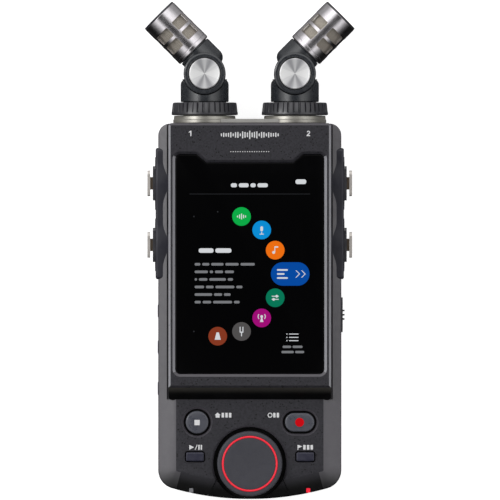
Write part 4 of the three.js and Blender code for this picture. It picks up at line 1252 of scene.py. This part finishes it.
def make_key(node, looks, sign=None):
    """A key with a rounded, slightly domed cap and its hidden flange."""
    low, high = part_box(node)
    x, y, width, height, radius = key_cap(node)
    points = rounded(x, y, width, height, radius, 12)
    top = high.z - 0.05 * MM
    edge = min(0.55 * MM, radius * 0.7)
    levels = eased(low.z + 0.5 * MM, top - 0.12 * MM, 0, edge, 4)
    levels.append((-edge - radius * 0.35 if radius > 2 * MM else -edge - 0.1 * MM, top))
    cap = slab(f"{node}_cap", points, levels)
    lip = KEYS[node]["clear"] + FLANGE
    flange = slab("flange", points, [(lip, low.z), (lip, low.z + 1.2 * MM)])
    cap = tidy(join(cap, flange))
    paint(cap, looks["key" if radius > 2 * MM else "small_key"], looks["chin"])
    # Painted shade: the flange and the cap's sides below the panel take the dark chin copy.
    for face in cap.data.polygons:
        if face.center.z < PANEL - 0.4 * MM:
            face.material_index = 1
    smooth(cap, 40)
    place(cap, node, "key_plastic", node)
    if sign:
        sign(x, y, top)


def make_keys(looks):
    def stop_sign(x, y, top):
        square = rounded(x, y - 0.1 * MM, 2.25 * MM, 2.25 * MM, 0.15 * MM, 3)
        gathered("stop_sign", [flat("stop", square, top, looks["ink"], 0.03 * MM)],
                 "stop_button", "key_plastic")

    def record_sign(x, y, top):
        red = glowing("record_red", colour(228, 14, 26), 0.7)
        gathered("record_sign", [flat("record", disc(x, y, 1.9 * MM, 40), top, red, 0.03 * MM)],
                 "record_button", "key_plastic")

    make_key("stop_button", looks, stop_sign)
    make_key("record_button", looks, record_sign)
    make_key("play_button", looks)
    make_key("mark_button", looks)


# ---------------------------------------------------------------- top and microphones

def make_collar(side, looks):
    name = f"{side_name(side)}_mic_collar"
    low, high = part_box(name)
    radius = (high.x - low.x) / 2
    bore = 9.3 * MM
    length = high.y - low.y
    profile = [
        (bore, 0), (radius, 0), (radius, length * 0.42), (radius - 0.25 * MM, length * 0.5),
        (radius - 0.3 * MM, length - 0.35 * MM), (radius - 0.6 * MM, length), (bore, length)]
    collar = turned(f"{name}_ring", profile, axis_y(side * MIC_X, low.y, MIC_Z), 96)
    smooth(paint(collar, looks["collar"]), 30)
    place(collar, "body", "collar_metal", name)


def make_lock_ring(side, looks):
    """A ring of blocky ribs above a plain foot."""
    name = f"{side_name(side)}_lock_ring"
    low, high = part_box(name)
    radius = (high.x - low.x) / 2 - 0.02 * MM
    length = high.y - low.y
    ribs = 36
    steps = 12
    rings = []
    valley = 0.95 * MM
    foot = 1.0 * MM
    for height, ease, drop in (
            (0, 0, 0.35), (0.25, 0, 0.0), (foot / MM, 0, 0.0), (foot / MM + 0.45, 1, 0.12),
            (length / MM - 0.4, 1, 0.5), (length / MM, 1, 0.85)):
        ring = []
        for rib in range(ribs):
            wide = 0.62 if rib % 4 else 0.82
            for step in range(steps):
                share = step / steps
                edge = min(share, abs(wide - share), 1 - share) / 0.09
                inside = share < wide
                dip = 0.0 if inside else valley * min(1.0, edge)
                angle = 2 * pi * (rib + share) / ribs
                reach = radius - drop * MM - dip * ease
                ring.append(Vector((reach * cos(angle), reach * sin(angle), height * MM)))
        rings.append(ring)
    at_ring = axis_y(side * MIC_X, low.y, MIC_Z)
    lock = moved(loft(f"{name}_grip", rings), at_ring)
    lock = cut(lock, rod("bore", 9.35 * MM, -1 * MM, length + 1 * MM, at_ring, 64))
    smooth(paint(tidy(lock), looks["black"]), 38)
    place(lock, name, "black_plastic", name)


def make_mic_base(side, looks):
    """The post below the pivot, hollowed in front for the knuckle, with the tongue behind."""
    name = f"{side_name(side)}_mic_base"
    low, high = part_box(name)
    post_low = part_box(f"{side_name(side)}_lock_ring")[1].y + GAP
    pivot_y = high.y - PIVOT_DROP
    post_top = pivot_y - 2.1 * MM
    spigot = 9 * MM
    post = 10.2 * MM
    length = post_top - low.y
    start = post_low - low.y
    profile = [
        (0, 0), (spigot - 0.3 * MM, 0), (spigot, 0.3 * MM), (spigot, start),
        (post - 0.25 * MM, start), (post, start + 0.25 * MM)]
    shoulder = 2.5 * MM
    for step in range(0, 9):
        angle = radians(90 * step / 8)
        profile.append((post - shoulder + shoulder * cos(angle), length - shoulder + shoulder * sin(angle)))
    profile.append((0, length))
    piece = turned(f"{name}_post", profile, axis_y(side * MIC_X, low.y, MIC_Z), 96)
    back = MIC_Z - 8.1 * MM
    at_pivot = Matrix.Translation((side * MIC_X, pivot_y, 0))
    tongue = rod("tongue", 8.9 * MM, back - 2 * MM, back, at_pivot, 96)
    room = rod("room", 9.22 * MM, back, MIC_Z + 20 * MM, at_pivot, 96)
    reach = 20 * MM
    middle = side * MIC_X
    backing = common(
        rod("backing", 9.75 * MM, back - 1.2 * MM, back, at_pivot, 96),
        block("below", (middle - reach, pivot_y - reach, 0), (middle + reach, post_top, MIC_Z)))
    piece = tidy(cut(join(piece, tongue, backing), room))
    paint(piece, looks["satin_black"])
    soften(piece, 0.18 * MM, 2, 40)
    place(piece, f"{side_name(side)}_mic_unit", "case_plastic", name)


def mic_place(side):
    """Places what is made upright about the pivot: the lathe's axis is the arm's."""
    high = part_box(f"{side_name(side)}_mic_base")[1]
    pivot = Matrix.Translation((side * MIC_X, high.y - PIVOT_DROP, MIC_Z))
    lean = Matrix.Rotation(radians(-side * MIC_SPLAY), 4, "Z")
    return pivot @ lean


def along_arm(side):
    """Turns a lathe's axis along the arm, which sits beside the pivot."""
    return mic_place(side) @ axis_y(-side * ARM_OFFSET, 0, 0)


HEAD_START = 10.1 * MM
HEAD_LENGTH = 21.5 * MM
HEAD_R = 8.37 * MM
WINDOW_ANGLE = 53
WINDOW_HEIGHT = 4.45 * MM
WINDOW_ROWS = (4.8 * MM, 10.6 * MM)


def make_arm(side, looks):
    """The swivelling arm with its round knuckle, whose recess holds the pivot cap."""
    name = f"{side_name(side)}_mic_arm"
    radius = 7.78 * MM
    corner = 3.8 * MM
    tail = -1.6 * MM
    profile = [(0, tail)]
    for step in range(0, 11):
        angle = radians(90 * step / 10)
        profile.append((radius - corner + corner * sin(angle), tail + corner - corner * cos(angle)))
    end = HEAD_START - 0.15 * MM
    spigot_r = 6.9 * MM
    spigot_end = HEAD_START + 1.9 * MM
    profile += [
        (radius, HEAD_START - 0.5 * MM), (radius - 0.35 * MM, end), (spigot_r, end),
        (spigot_r, spigot_end), (0, spigot_end)]
    arm = turned(f"{name}_shell", profile, along_arm(side), 96)
    front = 9.6 * MM
    floor = front - 1.6 * MM
    knuckle_r = 8.92 * MM
    knuckle = turned("knuckle", [
        (0, -7.78 * MM), (knuckle_r - 0.3 * MM, -7.78 * MM), (knuckle_r, -7.5 * MM),
        (knuckle_r, front - 0.75 * MM), (knuckle_r - 0.22 * MM, front - 0.3 * MM),
        (knuckle_r - 0.75 * MM, front), (7.3 * MM, front), (6.95 * MM, front - 0.35 * MM),
        (6.85 * MM, floor), (0, floor)], mic_place(side), 96)
    arm = tidy(join(arm, knuckle))
    paint(arm, looks["satin_black"])
    smooth(arm, 28)
    place(arm, f"{side_name(side)}_microphone", "black_plastic", name)


def make_pivot_cap(side):
    """The spun metal disc in front of the pivot."""
    name = f"{side_name(side)}_pivot_cap"
    low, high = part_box(name)
    centre_x, centre_y = (low.x + high.x) / 2, (low.y + high.y) / 2
    radius = 6.58 * MM
    thick = high.z - low.z
    face = thick - 0.12 * MM
    profile = [
        (0, 0), (radius, 0), (radius, thick - 0.55 * MM), (radius - 0.15 * MM, thick - 0.2 * MM),
        (radius - 0.45 * MM, thick - 0.02 * MM), (radius - 0.75 * MM, face), (0, face)]
    cap = turned(f"{name}_disc", profile, Matrix.Translation((centre_x, centre_y, low.z)), 96)
    paint(cap, painted_reflection_disc(f"{name}_metal", centre_x, centre_y))
    smooth(cap, 30)
    place(cap, f"{side_name(side)}_microphone", "silver_metal", name)


def make_head(side, looks):
    """A slotted metal sleeve: five windows round it in two rows, with a black cap at the tip."""
    name = f"{side_name(side)}_mic_head"
    bore = HEAD_R - 0.9 * MM
    tip = HEAD_START + HEAD_LENGTH
    sleeve_end = tip - 0.75 * MM
    base = HEAD_START + 0.15 * MM
    groove_r = HEAD_R - 0.12 * MM
    profile = [
        (bore, base), (HEAD_R - 0.35 * MM, base), (HEAD_R, base + 0.35 * MM), (HEAD_R, base + 1.6 * MM),
        (groove_r, base + 1.7 * MM), (groove_r, base + 1.85 * MM), (HEAD_R, base + 1.95 * MM),
        (HEAD_R, sleeve_end - 0.2 * MM), (HEAD_R - 0.2 * MM, sleeve_end), (bore, sleeve_end)]
    sleeve = turned(f"{name}_sleeve", profile, None, 120)
    cutters = []
    width = 2 * HEAD_R * sin(radians(WINDOW_ANGLE / 2))
    outline = rounded(0, 0, width, WINDOW_HEIGHT, 0.75 * MM, 5)
    for row in WINDOW_ROWS:
        middle = Matrix.Translation((0, 0, HEAD_START + row + WINDOW_HEIGHT / 2))
        for index in range(5):
            out = Matrix.Rotation(radians((index + 0.5) * 72), 4, "Z") @ middle
            cutters.append(slab("window", outline, [(0, 4 * MM), (0, 12 * MM)], out @ facing_x(1)))
    sleeve = cut(sleeve, *cutters)
    front_up = Matrix.Rotation(radians(-90), 4, "Z")
    sleeve.data.transform(along_arm(side) @ front_up)
    tidy(sleeve)
    paint(sleeve, looks["head"])
    soften(sleeve, 0.1 * MM, 2, 40)
    unit = f"{side_name(side)}_microphone"
    place(sleeve, unit, "smoked_metal", name)
    plug_r = bore - 0.05 * MM
    rim_r = HEAD_R - 0.08 * MM
    seat = sleeve_end + 0.02 * MM
    cap = turned(f"{name}_tip", [
        (0, sleeve_end - 2 * MM), (plug_r, sleeve_end - 2 * MM), (plug_r, seat),
        (HEAD_R - 0.25 * MM, seat), (rim_r, sleeve_end + 0.2 * MM),
        (rim_r, tip - 0.27 * MM), (HEAD_R - 0.34 * MM, tip), (0, tip)], along_arm(side), 96)
    smooth(paint(cap, looks["black"]), 30)
    place(cap, unit, "black_plastic")
    capsule_r = 6.78 * MM
    capsule_low = HEAD_START + 2.3 * MM
    capsule_high = tip - 2.8 * MM
    capsule = turned(f"{side_name(side)}_capsule_gauze", [
        (0, capsule_low), (capsule_r - 0.3 * MM, capsule_low), (capsule_r, capsule_low + 0.3 * MM),
        (capsule_r, capsule_high - 0.3 * MM), (capsule_r - 0.3 * MM, capsule_high), (0, capsule_high)],
        along_arm(side), 96)
    smooth(paint(capsule, looks["gauze"]), 40)
    place(capsule, unit, "screen_gauze", f"{side_name(side)}_mic_capsule")


def make_top(looks):
    soften_node("top_plate", 0.3 * MM)
    paint(nodes["top_plate"], looks["plate"])
    for side in (-1, 1):
        make_collar(side, looks)
        make_lock_ring(side, looks)
        make_mic_base(side, looks)
        make_arm(side, looks)
        make_pivot_cap(side)
        make_head(side, looks)


# ---------------------------------------------------------------- kept CAD nodes

def two_tone_lever(lever, looks):
    """The bright plate outside and the darker stem behind it."""
    paint(lever, looks["lever"], looks["lever_stem"])
    plate = max(abs((lever.matrix_world @ vertex.co).x) for vertex in lever.data.vertices) - 1.25 * MM
    for face in lever.data.polygons:
        if abs((lever.matrix_world @ face.center).x) < plate:
            face.material_index = 1


def finish_kept_nodes(looks):
    """CAD nodes that keep their shape get softer edges and their own materials."""
    plan = {
        "rear_case": ("case", 0.25), "battery_door": ("case", 0.2), "card_door": ("dark", 0.2),
        "phones_jack": ("black", 0.15), "volume_up_key": ("key", 0.3), "volume_down_key": ("key", 0.3),
        "power_slider": ("black", 0.15), "usb_port": ("steel", 0.08), "screen_module": ("black", 0.1),
        "left_light_pipe": ("grey_lens", 0.1), "right_light_pipe": ("red", 0.1),
        "wheel_encoder": ("black", 0.1), "card_socket": ("steel", 0.08), "tripod_insert": ("brass", 0.2),
        "speaker": ("black", 0.2), "main_board": ("board", 0.05), "keypad_board": ("board", 0.05),
    }
    for number in range(1, 5):
        plan[f"case_screw_{number}"] = ("steel", 0.15)
        plan[f"battery_cell_{number}"] = ("cell", 0.4)
    for side in ("left", "right"):
        for row in ("upper", "lower"):
            plan[f"{side}_{row}_jack"] = ("black", 0.3)
            plan[f"{side}_{row}_lever"] = ("lever", 0.22)
    for name, (look, width) in plan.items():
        soften_node(name, width * MM)
        paint(nodes[name], looks[look])
        if look == "lever":
            two_tone_lever(nodes[name], looks)


# ---------------------------------------------------------------- studio

def make_floor():
    floor = block("studio_floor", (-6, -6, -0.02), (6, 6, -0.0002))
    surface = Surface("floor_paper", (0.92, 0.92, 0.92, 1.0), 0.9, specular=0.1)
    surface.set("Emission Color", (1.0, 1.0, 1.0, 1.0))
    surface.set("Emission Strength", 0.75)
    surface.bump(surface.noise(0.4 * MM, 2), 0.01 * MM, 0.2)
    paint(floor, surface.material)
    floor.visible_glossy = False


# The dome's brightness by the height of a direction, from straight down to straight up.
DOME_LEVELS = [
    (-1.0, 0.02), (0.0, 0.04), (0.25, 0.35), (0.55, 0.85),
    (0.8, 1.15), (0.9, 0.85), (0.97, 0.04), (1.0, 0.02)]
# Each fade along an axis: where it starts and ends, and its level at both.
SIDE_FADE = ("X", -1, 1, 1.15, 0.82)
CHIN_FADE = ("Y", -0.68, -0.3, 0.1, 1.0)
# A glow that grows towards the microphones' side, added to the dome.
TOP_GLOW = ("Y", 0.25, 0.7, 0.0, 0.3)


def area_light(name, position, size, power):
    """A soft box aimed at the middle of the recorder."""
    data = bpy.data.lights.new(name, "AREA")
    data.shape = "RECTANGLE"
    data.size, data.size_y = size
    data.energy = power
    lamp = bpy.data.objects.new(name, data)
    lamp.location = position
    aim = Vector((0, 0, 0.02)) - Vector(position)
    lamp.rotation_euler = aim.to_track_quat("-Z", "Y").to_euler()
    lamp.visible_camera = False
    bpy.context.scene.collection.objects.link(lamp)


def fade_along(tree, split, axis, low, high, low_level, high_level):
    """A level that goes from one value to another along an axis of the sky."""
    fade = tree.nodes.new("ShaderNodeMapRange")
    fade.inputs["From Min"].default_value = low
    fade.inputs["From Max"].default_value = high
    fade.inputs["To Min"].default_value = low_level
    fade.inputs["To Max"].default_value = high_level
    tree.links.new(split.outputs[axis], fade.inputs["Value"])
    return fade.outputs["Result"]


def make_studio():
    """A dome of light: a bright band high at both sides, dark overhead and towards the chin."""
    world = bpy.data.worlds.new("studio")
    world.use_nodes = True
    tree = world.node_tree
    background = tree.nodes["Background"]
    place_at = tree.nodes.new("ShaderNodeTexCoord")
    split = tree.nodes.new("ShaderNodeSeparateXYZ")
    tree.links.new(place_at.outputs["Generated"], split.inputs[0])

    dome = tree.nodes.new("ShaderNodeValToRGB")
    dome.color_ramp.interpolation = "EASE"
    stops = dome.color_ramp.elements
    while len(stops) < len(DOME_LEVELS):
        stops.new(0.5)
    for stop, (z, level) in zip(stops, DOME_LEVELS):
        stop.position = (z + 1) / 2
        stop.color = (level, level, level, 1)
    tree.links.new(fade_along(tree, split, "Z", -1, 1, 0, 1), dome.inputs["Fac"])

    strength = dome.outputs["Color"]
    for operation, fade in (("MULTIPLY", SIDE_FADE), ("MULTIPLY", CHIN_FADE), ("ADD", TOP_GLOW)):
        result = tree.nodes.new("ShaderNodeMath")
        result.operation = operation
        tree.links.new(strength, result.inputs[0])
        tree.links.new(fade_along(tree, split, *fade), result.inputs[1])
        strength = result.outputs["Value"]
    tree.links.new(strength, background.inputs["Strength"])
    background.inputs["Color"].default_value = (1.0, 1.0, 1.0, 1.0)
    bpy.context.scene.world = world
    area_light("left_box", (-1.3, 0.5, 1.3), (0.5, 1.0), 6)
    bpy.context.scene.view_settings.view_transform = "Standard"


def make_camera():
    """A long lens straight above: the picture's side is a little more than the recorder's length."""
    low, high = cad_box
    middle = (low + high) / 2
    distance = 4.0
    depth = 0.024
    margin = 1.0045
    sensor = 36
    data = bpy.data.cameras.new("camera")
    data.sensor_width = sensor
    data.lens = sensor * (distance - depth) / ((high.y - low.y) * margin)
    data.clip_end = 20
    camera = bpy.data.objects.new("camera", data)
    camera.location = (middle.x + 0.1 * MM, middle.y, distance)
    bpy.context.scene.collection.objects.link(camera)
    bpy.context.scene.camera = camera


def main():
    looks = make_materials()
    make_camera()
    make_studio()
    make_floor()
    make_front_case(looks)
    make_bezel(looks)
    for side in (-1, 1):
        make_side_panel(side, looks)
    make_glass(looks)
    make_screen_picture()
    make_panel_print(looks)
    make_wheel(looks)
    make_keys(looks)
    make_top(looks)
    finish_kept_nodes(looks)


main()
